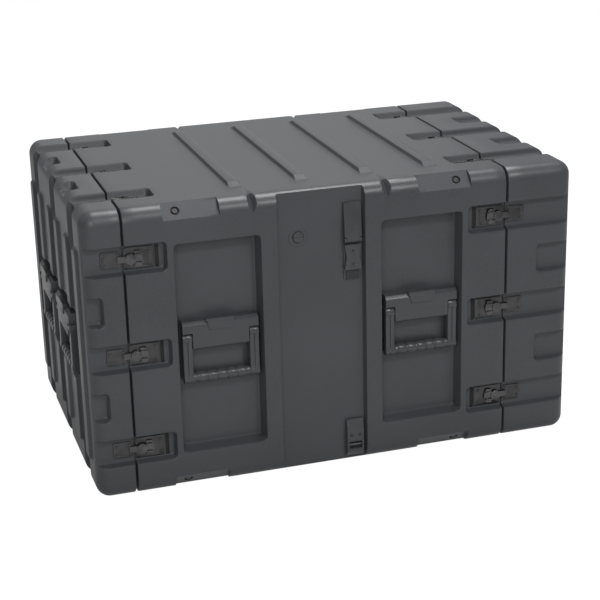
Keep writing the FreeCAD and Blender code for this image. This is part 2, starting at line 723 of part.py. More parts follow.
def make_latch_turn():
    """The turning piece: stem, hub, winged thumb plate and the nose over the keeper."""
    z0 = LATCH_FACE_HEIGHT
    z1 = z0 + LATCH_HUB_HEIGHT
    wing_top = z0 + LATCH_WING_THICKNESS
    stem = disc(LATCH_STEM_RADIUS, TURNING_GAP, z0)
    hub = disc(LATCH_HUB_RADIUS, z0, z1)
    half = LATCH_WING_HALF_WIDTH
    wing = block(-LATCH_WING_REACH, -LATCH_WING_INNER, -half, half, z0, wing_top)
    wing = wing.common(disc(LATCH_WING_REACH, z0, wing_top))
    bars = []
    for v in (-LATCH_GRIP_BAR_OFFSET, LATCH_GRIP_BAR_OFFSET):
        v0 = v - LATCH_GRIP_BAR_WIDTH / 2
        bars.append(block(3.0 - LATCH_WING_REACH, -LATCH_WING_INNER, v0, v0 + LATCH_GRIP_BAR_WIDTH,
                          wing_top, wing_top + LATCH_GRIP_BAR_HEIGHT))
    half = LATCH_NOSE_HALF_WIDTH
    nose = block(0.0, LATCH_WING_REACH, -half, half, z0, z0 + LATCH_NOSE_THICKNESS)
    nose = nose.common(disc(LATCH_WING_REACH, z0, wing_top))
    return moved(join([stem, hub, wing, nose] + bars), -LATCH_HUB_FROM_RIM)


def make_keeper():
    """Riveted plate on the lid with the ridge under the latch's nose."""
    x0 = SEAM_GAP + KEEPER_RIM_GAP
    half = KEEPER_HALF_WIDTH
    plate = block(x0, x0 + KEEPER_LENGTH, -half, half, 0.0, KEEPER_PLATE)
    plate = plate.makeFillet(4.0, [e for e in plate.Edges if e.BoundBox.ZLength > 1.0])
    ridge_x = x0 + KEEPER_RIDGE_OFFSET
    ridge = block(ridge_x, ridge_x + KEEPER_RIDGE_LENGTH, 3.0 - half, half - 3.0, 0.0,
                  KEEPER_PLATE + KEEPER_RIDGE_HEIGHT)
    holes = [disc(RIVET_RADIUS + SCREW_CLEARANCE, -OVERCUT, KEEPER_PLATE + OVERCUT, u, v)
             for u, v in keeper_rivet_points()]
    return join([plate, ridge]).cut(holes)


def make_rivet(grip):
    """Blind rivet through a plate of the given thickness and one wall."""
    shank = disc(RIVET_RADIUS, -WALL - RIVET_HEAD, grip)
    head = disc(RIVET_HEAD_RADIUS, grip, grip + RIVET_HEAD)
    head = head.makeFillet(RIVET_HEAD * 0.7, [e for e in head.Edges
                                            if e.BoundBox.ZMin > grip + RIVET_HEAD - 1e-6])
    tail = disc(RIVET_HEAD_RADIUS, -WALL - RIVET_HEAD, -WALL)
    return join([shank, head, tail])


# ---------------------------------------------------------------- drop handles
def make_handle_housing():
    """Moulded housing: back plate, block with the bail's bearings and the grip tab.

    The frame is outward +Z, up +Y, across +X, with its origin behind the pivot."""
    half = HANDLE_WIDTH / 2
    inner = half - HANDLE_ARM_WIDTH - HANDLE_SIDE_GAP
    top = HANDLE_ABOVE_PIVOT
    eye = HANDLE_ARM_EYE_RADIUS + HANDLE_SIDE_GAP
    bevel = HANDLE_BLOCK_BEVEL
    deep = HANDLE_BLOCK_DEPTH
    plate = block(-half, half, -HANDLE_BELOW_PIVOT, top, 0.0, HANDLE_PLATE)
    plate = plate.makeFillet(6.0, [e for e in plate.Edges if e.BoundBox.ZLength > 1.0])
    hood = prism_x([(eye, 0.0), (top, 0.0), (top, deep - bevel), (top - bevel, deep), (eye, deep)],
                   -half, half)
    low = -HANDLE_APRON
    apron = prism_x([(low, 0.0), (eye + 1.0, 0.0), (eye + 1.0, deep), (low + 4.0, deep),
                     (low, deep - 4.0)], -inner, inner)
    tab_low = top + HANDLE_TAB_RISE - HANDLE_TAB_HEIGHT
    tab_top = top + HANDLE_TAB_RISE
    wide = HANDLE_TAB_TOP_WIDTH / 2
    narrow = HANDLE_TAB_LOW_WIDTH / 2
    z0 = deep - 9.0
    outline = [Vector(-narrow, tab_low, z0), Vector(narrow, tab_low, z0),
               Vector(wide, tab_top, z0), Vector(-wide, tab_top, z0)]
    tab = Part.Face(Part.makePolygon(outline + outline[:1]))
    tab = tab.extrude(Vector(0, 0, 9.0 + HANDLE_TAB_PROUD))
    body = join([plate, hood, apron, tab])
    bearing = rod_x(HANDLE_TRUNNION_RADIUS + RUNNING_CLEARANCE, inner - HANDLE_TRUNNION_LENGTH - 1.0,
                    inner + 1.0, 0.0, HANDLE_PIVOT_STANDOFF)
    cuts = [bearing, mirrored(bearing, X_AXIS)]
    bite = HANDLE_SCREW_BITE + 1.0
    radius = HANDLE_SCREW_RADIUS + SCREW_CLEARANCE
    cuts += [disc(radius, -OVERCUT, bite, u, v) for u, v in handle_screw_places()]
    return body.cut(cuts)


def make_handle_bail():
    """The swinging bail: two arms, a ribbed grip and the trunnions."""
    half = HANDLE_WIDTH / 2
    inner = half - HANDLE_ARM_WIDTH
    z = HANDLE_PIVOT_STANDOFF
    deep = HANDLE_ARM_DEPTH / 2
    drop = HANDLE_GRIP_DROP
    arm = block(inner, half, -drop, 0.0, z - deep, z + deep)
    eye = rod_x(HANDLE_ARM_EYE_RADIUS, inner, half, 0.0, z)
    end = rod_x(HANDLE_GRIP_RADIUS, inner, half, -drop, z)
    slot_x = (inner + half) / 2
    slot = block(slot_x - 0.8, slot_x + 0.8, 8.0 - drop, -5.0, z + deep - 2.0, z + deep + OVERCUT)
    reach = inner - HANDLE_SIDE_GAP - HANDLE_TRUNNION_LENGTH
    trunnion = rod_x(HANDLE_TRUNNION_RADIUS, reach, inner + 1.0, 0.0, z)
    side = join([arm, eye, end, trunnion]).cut(slot)
    core = rod_x(HANDLE_GRIP_CORE_RADIUS, -inner, inner, -drop, z)
    pitch = HANDLE_GRIP_SEGMENT + HANDLE_GRIP_SEGMENT_GAP
    first = -pitch * (HANDLE_GRIP_SEGMENTS - 1) / 2
    segments = []
    for k in range(HANDLE_GRIP_SEGMENTS):
        x = first + k * pitch
        length = HANDLE_GRIP_SEGMENT / 2
        segments.append(rod_x(HANDLE_GRIP_RADIUS, x - length, x + length, -drop, z))
    return join([side, mirrored(side, X_AXIS), core] + segments)


def make_handle_screw():
    """Pan-head screw driven from inside the case into the housing."""
    shank = disc(HANDLE_SCREW_RADIUS, -WALL, HANDLE_SCREW_BITE)
    head = disc(HANDLE_SCREW_HEAD_RADIUS, -WALL - HANDLE_SCREW_HEAD, -WALL)
    return shank.fuse(head).removeSplitter()


# ---------------------------------------------------------------- rack frame
def hollow_bar(x0, x1, y0, y1, z0, z1, axis):
    """Rectangular tube between two corners, open along one axis."""
    t = FRAME_TUBE_WALL
    bar = block(x0, x1, y0, y1, z0, z1)
    grow = {"x": (1, 0, 0), "y": (0, 1, 0), "z": (0, 0, 1)}[axis]
    low = [c + t - g * 2 * t for c, g in zip((x0, y0, z0), grow)]
    high = [c - t + g * 2 * t for c, g in zip((x1, y1, z1), grow)]
    return bar.cut(block(low[0], high[0], low[1], high[1], low[2], high[2]))


def frame_post_x():
    """Inner and outer X of the posts at the rear end of the frame."""
    outer = FRAME_LENGTH / 2 - FRAME_POST_SETBACK
    return outer - FRAME_POST_LENGTH, outer


def make_rack_frame():
    """Tubes welded face to face, and the corner gussets that the mounts bolt to."""
    half_l = FRAME_LENGTH / 2
    half_w = FRAME_WIDTH / 2
    half_h = FRAME_HEIGHT / 2
    bars = []
    x0, x1 = frame_post_x()
    for side in (-1, 1):
        y0, y1 = sorted((side * half_w, side * (half_w - FRAME_BAR_WIDTH)))
        p0, p1 = sorted((side * half_w, side * (half_w - FRAME_POST_WIDTH)))
        for z0 in (MID_Z - half_h, MID_Z + half_h - FRAME_BAR_HEIGHT):
            bars.append(hollow_bar(-half_l, half_l, y0, y1, z0, z0 + FRAME_BAR_HEIGHT, "x"))
        low = MID_Z - half_h + FRAME_BAR_HEIGHT
        high = MID_Z + half_h - FRAME_BAR_HEIGHT
        for a, b in ((-x1, -x0), (-FRAME_POST_LENGTH / 2, FRAME_POST_LENGTH / 2), (x0, x1)):
            bars.append(hollow_bar(a, b, p0, p1, low, high, "z"))
    across = half_w - FRAME_BAR_WIDTH
    for a, b in ((-x1, -x0), (-FRAME_POST_LENGTH / 2, FRAME_POST_LENGTH / 2), (x0, x1)):
        for z0 in (MID_Z - half_h, MID_Z + half_h - FRAME_BAR_HEIGHT):
            bars.append(hollow_bar(a, b, -across, across, z0, z0 + FRAME_BAR_HEIGHT, "y"))
    gussets = [place_gusset(gusset_section(), *place) for place in mount_places()]
    return Part.makeCompound(bars + gussets)


def mount_drop():
    """Distance from a flat's plane to the gusset's outer face."""
    return BOSS_THICKNESS + MOUNT_LENGTH


def place_gusset(shape, side, top, x):
    return corner_frame(moved(shape, z=-mount_drop()), side, top, x)


def gusset_section():
    """Folded plate whose two legs stand on the frame's side and top at a corner."""
    depth = GUSSET_RISE
    half = GUSSET_HALF_WIDTH
    t = GUSSET_PLATE
    inner = half - t
    outline = [
        (-half, 0.0), (half, 0.0), (half, -depth - half), (inner, -depth - inner),
        (inner, -t), (-inner, -t), (-inner, -depth - inner), (-half, -depth - half),
    ]
    wide = GUSSET_LENGTH / 2
    hole = disc(MOUNT_STUD_RADIUS + SCREW_CLEARANCE, -t - OVERCUT, OVERCUT)
    return prism_x(outline, -wide, wide).cut(hole)


def rail_hole_heights():
    low = MID_Z - RACK_UNITS * RACK_UNIT / 2
    return [low + k * RACK_UNIT + offset for k in range(RACK_UNITS) for offset in RACK_HOLE_OFFSETS]


def rail_screw_heights():
    span = RACK_UNITS * RACK_UNIT - 2 * RACK_UNIT
    step = span / (RAIL_SCREW_COUNT - 1)
    return [MID_Z - span / 2 + k * step for k in range(RAIL_SCREW_COUNT)]


def rail_screw_x():
    """Middle of the stretch where a rail's web lies on its post."""
    return (RAIL_FACE_X - RAIL_WEB_LENGTH + frame_post_x()[1]) / 2


def make_rack_rail():
    """Angle with the rack's hole pattern, for the rear end and the left side."""
    low = MID_Z - RACK_UNITS * RACK_UNIT / 2
    high = MID_Z + RACK_UNITS * RACK_UNIT / 2
    y0 = RACK_OPENING / 2
    web_y = FRAME_WIDTH / 2 - FRAME_POST_WIDTH
    face = block(RAIL_FACE_X - RAIL_THICKNESS, RAIL_FACE_X, y0, FRAME_WIDTH / 2, low, high)
    web = block(RAIL_FACE_X - RAIL_WEB_LENGTH, RAIL_FACE_X, web_y - RAIL_THICKNESS, web_y, low, high)
    holes = []
    for z in rail_hole_heights():
        holes.append(rod_x(RACK_HOLE_RADIUS, RAIL_FACE_X - RAIL_THICKNESS - 1.0, RAIL_FACE_X + 1.0,
                           RACK_HOLE_SPACING / 2, z))
    for z in rail_screw_heights():
        start = Vector(rail_screw_x(), web_y - RAIL_THICKNESS - 1.0, z)
        holes.append(Part.makeCylinder(RAIL_SCREW_RADIUS + SCREW_CLEARANCE, RAIL_THICKNESS + 2.0,
                                       start, Y_AXIS))
    return join([face, web]).cut(holes)


def place_rail(shape, end, side):
    result = shape if end > 0 else mirrored(shape, X_AXIS)
    return result if side > 0 else mirrored(result, Y_AXIS)


def rail_screw_holes():
    """Clearance holes in the frame's posts for the rail screws."""
    web_y = FRAME_WIDTH / 2 - FRAME_POST_WIDTH
    holes = []
    for z in rail_screw_heights():
        start = Vector(rail_screw_x(), web_y - 1.0, z)
        hole = Part.makeCylinder(RAIL_SCREW_RADIUS + SCREW_CLEARANCE, FRAME_TUBE_WALL + 2.0,
                                 start, Y_AXIS)
        holes += [place_rail(hole, end, side) for end in (-1, 1) for side in (-1, 1)]
    return holes


def make_rail_screws():
    web_y = FRAME_WIDTH / 2 - FRAME_POST_WIDTH
    seat = web_y - RAIL_THICKNESS
    screws = []
    for z in rail_screw_heights():
        foot = Vector(rail_screw_x(), seat, z)
        shank = Part.makeCylinder(RAIL_SCREW_RADIUS, RAIL_THICKNESS + FRAME_TUBE_WALL + 4.0,
                                  foot, Y_AXIS)
        head = Part.makeCylinder(RAIL_SCREW_HEAD_RADIUS, RAIL_SCREW_HEAD,
                                 foot - Y_AXIS * RAIL_SCREW_HEAD, Y_AXIS)
        screw = shank.fuse(head).removeSplitter()
        screws += [place_rail(screw, end, side) for end in (-1, 1) for side in (-1, 1)]
    return Part.makeCompound(screws)


# ---------------------------------------------------------------- shock mounts
def make_shock_mount():
    """Waisted rubber mount between a boss and a gusset, with its gusset stud."""
    top = -BOSS_THICKNESS
    low = top - MOUNT_LENGTH
    r = MOUNT_RADIUS
    waist = MOUNT_WAIST_RADIUS
    f = MOUNT_FLANGE
    profile = [
        Vector(0, 0, low), Vector(r, 0, low), Vector(r, 0, low + f),
        Vector(waist, 0, low + 2 * f), Vector(waist, 0, top - 2 * f),
        Vector(r, 0, top - f), Vector(r, 0, top), Vector(0, 0, top),
    ]
    face = Part.Face(Part.makePolygon(profile + profile[:1]))
    rubber = face.revolve(ORIGIN, Z_AXIS, 360)
    stud = disc(MOUNT_STUD_RADIUS, low - GUSSET_PLATE - MOUNT_STUD_LENGTH, low + 1.0)
    bore = disc(MOUNT_STUD_RADIUS + RUNNING_CLEARANCE, top - MOUNT_BOLT_BITE - 1.0, top + 1.0)
    return join([rubber, stud]).cut(bore)


def make_mount_bolt():
    """Socket screw sunk in the flat's counterbore and screwed into the mount."""
    seat = -MOUNT_COUNTERBORE_DEPTH
    shank = disc(MOUNT_STUD_RADIUS, -BOSS_THICKNESS - MOUNT_BOLT_BITE, seat)
    head = disc(MOUNT_BOLT_HEAD_RADIUS, seat, seat + MOUNT_BOLT_HEAD)
    head = head.makeFillet(1.2, [e for e in head.Edges
                                 if e.BoundBox.ZMin > seat + MOUNT_BOLT_HEAD - 1e-6])
    socket = hexagon_prism(5.0, seat + MOUNT_BOLT_HEAD - 2.5, seat + MOUNT_BOLT_HEAD + 1.0)
    return join([shank, head]).cut(socket)


def hexagon_prism(across_flats, z0, z1):
    radius = across_flats / math.sqrt(3)
    points = [Vector(radius * math.cos(k * math.pi / 3), radius * math.sin(k * math.pi / 3), z0)
              for k in range(6)]
    return Part.Face(Part.makePolygon(points + points[:1])).extrude(Vector(0, 0, z1 - z0))


def make_mount_nut():
    top = -mount_drop() - GUSSET_PLATE
    nut = hexagon_prism(NUT_ACROSS_FLATS, top - NUT_THICKNESS, top)
    return nut.cut(disc(MOUNT_STUD_RADIUS + RUNNING_CLEARANCE, top - NUT_THICKNESS - 1.0, top + 1.0))


def at_mounts(shape):
    return Part.makeCompound([corner_frame(shape, *place) for place in mount_places()])


# ---------------------------------------------------------------- pressure valve
def make_valve_body():
    """Flanged valve through the centre band, with a bore for its purge knob."""
    seat = -VALVE_SEAT_DEPTH
    beyond = -WALL - VALVE_STEM_BEYOND_WALL
    flange = disc(VALVE_RADIUS, seat, seat + VALVE_FLANGE)
    flange = flange.makeChamfer(1.2, [e for e in flange.Edges
                                      if e.BoundBox.ZMin > seat + VALVE_FLANGE - 1e-6])
    stem = disc(VALVE_STEM_RADIUS, beyond, seat)
    well = disc(VALVE_KNOB_RADIUS + 1.0, seat + VALVE_FLANGE - VALVE_KNOB_SINK,
                seat + VALVE_FLANGE + 1.0)
    bore = disc(VALVE_BORE_RADIUS, beyond - 1.0, seat + VALVE_FLANGE + 1.0)
    return join([flange, stem]).cut([well, bore])


def make_valve_knob():
    """Knurled purge knob turning in the valve's bore."""
    z0 = VALVE_FLANGE - VALVE_SEAT_DEPTH - VALVE_KNOB_SINK + TURNING_GAP
    cap = disc(VALVE_KNOB_RADIUS, z0, z0 + VALVE_KNOB_HEIGHT)
    cap = cap.makeChamfer(0.8, [e for e in cap.Edges
                                if e.BoundBox.ZMin > z0 + VALVE_KNOB_HEIGHT - 1e-6])
    stem = disc(VALVE_BORE_RADIUS - RUNNING_CLEARANCE, z0 - VALVE_KNOB_STEM_LENGTH, z0)
    top = z0 + VALVE_KNOB_HEIGHT
    slot = block(-VALVE_KNOB_RADIUS, VALVE_KNOB_RADIUS, -1.0, 1.0, top - 1.5, top + 1.0)
    return join([cap, stem]).cut(slot)


# ---------------------------------------------------------------- tie-down and anchor
def make_tie_down_base():
    """Back plate, strap block and the two ears that carry the lever."""
    half = TIE_WIDTH / 2
    waist = half - TIE_BLOCK_WAIST
    plate = block(-half, half, TIE_LOW_Z, TIE_TOP_Z, 0.0, TIE_PLATE)
    points = [(-half, TIE_BLOCK_TOP_Z), (half, TIE_BLOCK_TOP_Z)]
    mid = (TIE_BLOCK_TOP_Z + TIE_BLOCK_LOW_Z) / 2
    points += [(waist, mid), (half, TIE_BLOCK_LOW_Z), (-half, TIE_BLOCK_LOW_Z), (-waist, mid)]
    outline = [Vector(x, z, 0.0) for x, z in points + points[:1]]
    body = Part.Face(Part.makePolygon(outline)).extrude(Vector(0, 0, TIE_BLOCK_DEPTH))
    pin_height = TIE_PLATE + TIE_EAR_RADIUS
    ears = []
    for x0 in (-half, half - TIE_EAR):
        foot = block(x0, x0 + TIE_EAR, TIE_PIVOT_Z - TIE_EAR_RADIUS, TIE_PIVOT_Z + TIE_EAR_RADIUS,
                     0.0, pin_height)
        eye = rod_x(TIE_EAR_RADIUS, x0, x0 + TIE_EAR, TIE_PIVOT_Z, pin_height)
        ears += [foot, eye]
    web_half = TIE_WEB_WIDTH / 2 + 2 * SEAL_GAP
    slot = block(-web_half, web_half, TIE_BLOCK_LOW_Z - OVERCUT,
                 TIE_BLOCK_LOW_Z + TIE_WEB_TUCK + SEAL_GAP, TIE_PLATE,
                 TIE_PLATE + TIE_WEB_THICKNESS + 2 * SEAL_GAP)
    bore = rod_x(TIE_PIN_RADIUS + RUNNING_CLEARANCE, -half - 1.0, half + 1.0, TIE_PIVOT_Z, pin_height)
    radius = RIVET_RADIUS + SCREW_CLEARANCE
    holes = [disc(radius, -1.0, TIE_BLOCK_DEPTH + 1.0, x - TIE_X, z) for x, z in band_rivet_points()[:2]]
    return join([plate, body] + ears).cut([bore, slot] + holes)


def make_tie_down_lever():
    """Cam lever lying up the plate, hinged between the ears."""
    half = TIE_WIDTH / 2
    narrow = half - TIE_EAR - 0.4
    z = TIE_PLATE + TIE_EAR_RADIUS
    root_low = TIE_PIVOT_Z + TIE_EAR_RADIUS + 1.5
    rest = TIE_PLATE + SEAL_GAP
    blade = prism_x([(root_low, rest), (TIE_TOP_Z - 1.0, rest),
                     (TIE_TOP_Z - 1.0, rest + TIE_LEVER_TIP_DEPTH - 2.0),
                     (root_low, rest + TIE_LEVER_ROOT_DEPTH)], -half, half)
    neck = prism_x([(TIE_PIVOT_Z, z - TIE_EAR_RADIUS + SEAL_GAP), (root_low + 2.0, rest),
                    (root_low + 2.0, z + TIE_EAR_RADIUS - 0.2), (TIE_PIVOT_Z, z + TIE_EAR_RADIUS - 0.2)],
                   -narrow, narrow)
    knuckle = rod_x(TIE_EAR_RADIUS - SEAL_GAP, -narrow, narrow, TIE_PIVOT_Z, z)
    pin = rod_x(TIE_PIN_RADIUS, -half, half, TIE_PIVOT_Z, z)
    return join([blade, neck, knuckle, pin])


def make_tie_down_webbing():
    """Short folded end of the strap that leaves the buckle's block."""
    half = TIE_WEB_WIDTH / 2
    z0 = TIE_PLATE + SEAL_GAP
    return block(-half, half, TIE_LOW_Z, TIE_BLOCK_LOW_Z + TIE_WEB_TUCK, z0, z0 + TIE_WEB_THICKNESS)


def make_anchor_bracket():
    """Open bracket: a slot in its face, with cheeks that carry the cross pin."""
    half = ANCHOR_WIDTH / 2
    deep = ANCHOR_DEPTH
    height = ANCHOR_TOP_Z - ANCHOR_LOW_Z
    outline = [(0.0, 0.0), (height, 0.0), (height, deep / 2), (height - ANCHOR_SLOPE, deep),
               (ANCHOR_FOOT, deep), (0.0, deep / 2)]
    body = prism_x(outline, -half, half)
    inner = half - ANCHOR_CHEEK
    low = ANCHOR_SLOT_LOW_Z - ANCHOR_LOW_Z
    top = ANCHOR_SLOT_TOP_Z - ANCHOR_LOW_Z
    slot = block(-inner, inner, low, top, ANCHOR_PLATE, deep + 1.0)
    pin = rod_x(ANCHOR_PIN_RADIUS + SCREW_CLEARANCE, -half - 1.0, half + 1.0, (low + top) / 2,
                ANCHOR_PIN_HEIGHT)
    radius = RIVET_RADIUS + SCREW_CLEARANCE
    holes = [disc(radius, -1.0, deep + 1.0, x - ANCHOR_X, z - ANCHOR_LOW_Z)
             for x, z in band_rivet_points()[2:]]
    return body.cut([slot, pin] + holes)


def make_anchor_pin():
    half = ANCHOR_WIDTH / 2
    mid = (ANCHOR_SLOT_LOW_Z + ANCHOR_SLOT_TOP_Z) / 2 - ANCHOR_LOW_Z
    return rod_x(ANCHOR_PIN_RADIUS, -half, half, mid, ANCHOR_PIN_HEIGHT)


def band_rivets():
    """Long rivets through the buckle's block and the anchor bracket."""
    rivets = []
    for k, (x, z) in enumerate(band_rivet_points()):
        grip = TIE_BLOCK_DEPTH if k < 2 else ANCHOR_DEPTH
        rivets.append(on_band(make_rivet(grip), x, z))
    return rivets


# ---------------------------------------------------------------- assembly
def build():
    """Every node's name and shape."""
    nodes = {"body_shell": make_body_shell()}
    frame = make_rack_frame()
    nodes["rack_frame"] = Part.makeCompound([bar.cut(rail_screw_holes()) for bar in frame.Solids])
    rail = make_rack_rail()
    for end, word in ((-1, "front"), (1, "rear")):
        for side, hand in ((-1, "right"), (1, "left")):
            nodes["rack_rail_" + word + "_" + hand] = place_rail(rail, end, side)
    nodes["rail_screws"] = make_rail_screws()
    nodes["shock_mounts"] = at_mounts(make_shock_mount())
    nodes["shock_mount_bolts"] = at_mounts(make_mount_bolt())
    nodes["shock_mount_nuts"] = at_mounts(make_mount_nut())

    housing = make_handle_housing()
    bail = make_handle_bail()
    screws = []
    for name, side, x in side_handle_places():
        nodes["side_handle_housing_" + name] = place_side_handle(housing, side, x)
        nodes["side_handle_" + name] = place_side_handle(bail, side, x)
        for u, v in handle_screw_places():
            screws.append(place_side_handle(moved(make_handle_screw(), u, v), side, x))
    nodes["side_handle_screws"] = Part.makeCompound(screws)

    places = latch_places()
    base = make_latch_base()
    turn = make_latch_turn()
    keeper = make_keeper()
    rivet = make_rivet(LATCH_PLATE)
    nodes["latch_bases"] = Part.makeCompound([place_latch(base, place) for place in places])
    rivets = [place_latch(moved(rivet, u, v), place) for place in places
              for u, v in latch_rivet_points()]
    nodes["body_rivets"] = Part.makeCompound(rivets + band_rivets())
    for place in places:
        nodes["latch_" + place[0]] = place_latch(turn, place)

    for end, word, depth, start in ((-1, "front", FRONT_LID_DEPTH, FRONT_POCKET_START),
                                    (1, "rear", REAR_LID_DEPTH, REAR_POCKET_START)):
        nodes[word + "_lid_shell"] = to_lid(make_lid_shell(depth, start), end)
        nodes[word + "_lid_gasket"] = to_lid(make_gasket(), end)
        own = [place for place in places if place[1] == end]
        nodes[word + "_keepers"] = Part.makeCompound([place_latch(keeper, place) for place in own])
        fasteners = [place_latch(moved(rivet, u, v), place) for place in own
                     for u, v in keeper_rivet_points()]
        for y in END_HANDLE_Y:
            for u, v in handle_screw_places():
                screw = place_end_handle(moved(make_handle_screw(), u, v), depth, y)
                fasteners.append(to_lid(screw, end))
        nodes[word + "_lid_fasteners"] = Part.makeCompound(fasteners)
        housings = [to_lid(place_end_handle(housing, depth, y), end) for y in END_HANDLE_Y]
        nodes[word + "_handle_housings"] = Part.makeCompound(housings)
        for y, hand in zip(END_HANDLE_Y, ("right", "left")):
            nodes[word + "_handle_" + hand] = to_lid(place_end_handle(bail, depth, y), end)

    nodes["valve_body"] = on_band(make_valve_body(), VALVE_X, VALVE_Z)
    nodes["valve_knob"] = on_band(make_valve_knob(), VALVE_X, VALVE_Z)
    nodes["tie_down_base"] = on_band(make_tie_down_base(), TIE_X, 0.0)
    nodes["tie_down_lever"] = on_band(make_tie_down_lever(), TIE_X, 0.0)
    nodes["tie_down_webbing"] = on_band(make_tie_down_webbing(), TIE_X, 0.0)
    nodes["anchor_bracket"] = on_band(make_anchor_bracket(), ANCHOR_X, ANCHOR_LOW_Z)
    nodes["anchor_pin"] = on_band(make_anchor_pin(), ANCHOR_X, ANCHOR_LOW_Z)
    return nodes


os.makedirs("parts", exist_ok=True)
for node, shape in build().items():
    if not shape.isValid():
        print("invalid shape:", node)
    shape.exportStep("parts/" + node + ".step")
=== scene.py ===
"""Equipment rack case: a moulded sleeve, two lift-off lids, latches, handles and a rack frame."""
import copy
import json
import math

import bmesh
import bpy
import numpy as np
from bpy.props import FloatProperty, FloatVectorProperty, IntProperty, PointerProperty
from mathutils import Matrix, Quaternion, Vector


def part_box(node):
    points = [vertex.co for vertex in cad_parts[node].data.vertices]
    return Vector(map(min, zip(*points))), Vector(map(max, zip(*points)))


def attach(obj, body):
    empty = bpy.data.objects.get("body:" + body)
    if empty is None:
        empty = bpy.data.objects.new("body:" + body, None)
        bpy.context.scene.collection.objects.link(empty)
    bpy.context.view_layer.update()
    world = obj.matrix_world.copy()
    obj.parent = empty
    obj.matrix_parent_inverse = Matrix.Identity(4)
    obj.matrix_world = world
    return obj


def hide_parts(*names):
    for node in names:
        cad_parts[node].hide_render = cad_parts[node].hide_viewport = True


bl_info = {
    "name": "Equipment Rack Case",
    "version": (1, 0, 0),
    "blender": (4, 5, 0),
    "location": "3D View > Sidebar > Rack Case",
    "description": "Builds a moulded equipment rack case around its rigid frame",
    "category": "Add Mesh",
}

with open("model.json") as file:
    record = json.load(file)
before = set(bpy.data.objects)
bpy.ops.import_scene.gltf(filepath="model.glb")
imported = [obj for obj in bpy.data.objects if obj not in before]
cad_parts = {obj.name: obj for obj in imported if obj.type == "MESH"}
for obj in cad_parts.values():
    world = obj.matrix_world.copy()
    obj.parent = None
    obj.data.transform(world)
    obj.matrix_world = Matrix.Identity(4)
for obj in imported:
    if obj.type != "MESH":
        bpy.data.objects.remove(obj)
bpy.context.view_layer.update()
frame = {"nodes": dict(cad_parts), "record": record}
SLOTS = {part["node"]: part["material_slot"] for part in frame["record"]["subparts"]}
BODY_OF = {node: body for body, nodes in frame["record"]["behaviour"]["bodies"].items()
           for node in nodes}
ENDS = (("front", -1), ("rear", 1))
LEVELS = ("low", "mid", "high")
COLUMNS = ("right", "mid", "left")
# Which of a recess's own directions runs along the case's x, y and z, for each face.
FACE_AXES = ({"side": 0, "top": 0, "under": 0}, {"top": 1, "under": 1, "end": 0},
             {"side": 1, "end": 1})
# The depth of a recess outside its outline.
NOTHING = -np.inf
CREASE = math.radians(32)
FLUSH = math.radians(0.4)
SAME_POINT = 2e-6
HALF_DIAGONAL = 1 - 1 / math.sqrt(2)
# Distances from a flat's end, where its upright step needs lattice lines.
FLAT_STEPS = (-0.0003, 0.0004, 0.001)
FLAT_LEAN = 0.0004
WHITE = (1.0, 1.0, 1.0, 1.0)


def middle(node, axis):
    """Middle of a node's box along one axis."""
    low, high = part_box(node)
    return (low[axis] + high[axis]) / 2


# ------------------------------------------------------------------ settings
def length(name, description, default):
    return FloatProperty(name=name, description=description, default=default,
                         subtype="DISTANCE", unit="LENGTH", precision=4)


def tint(name, description, default):
    return FloatVectorProperty(name=name, description=description, default=default, min=0.0,
                               max=1.0, size=3, subtype="COLOR")


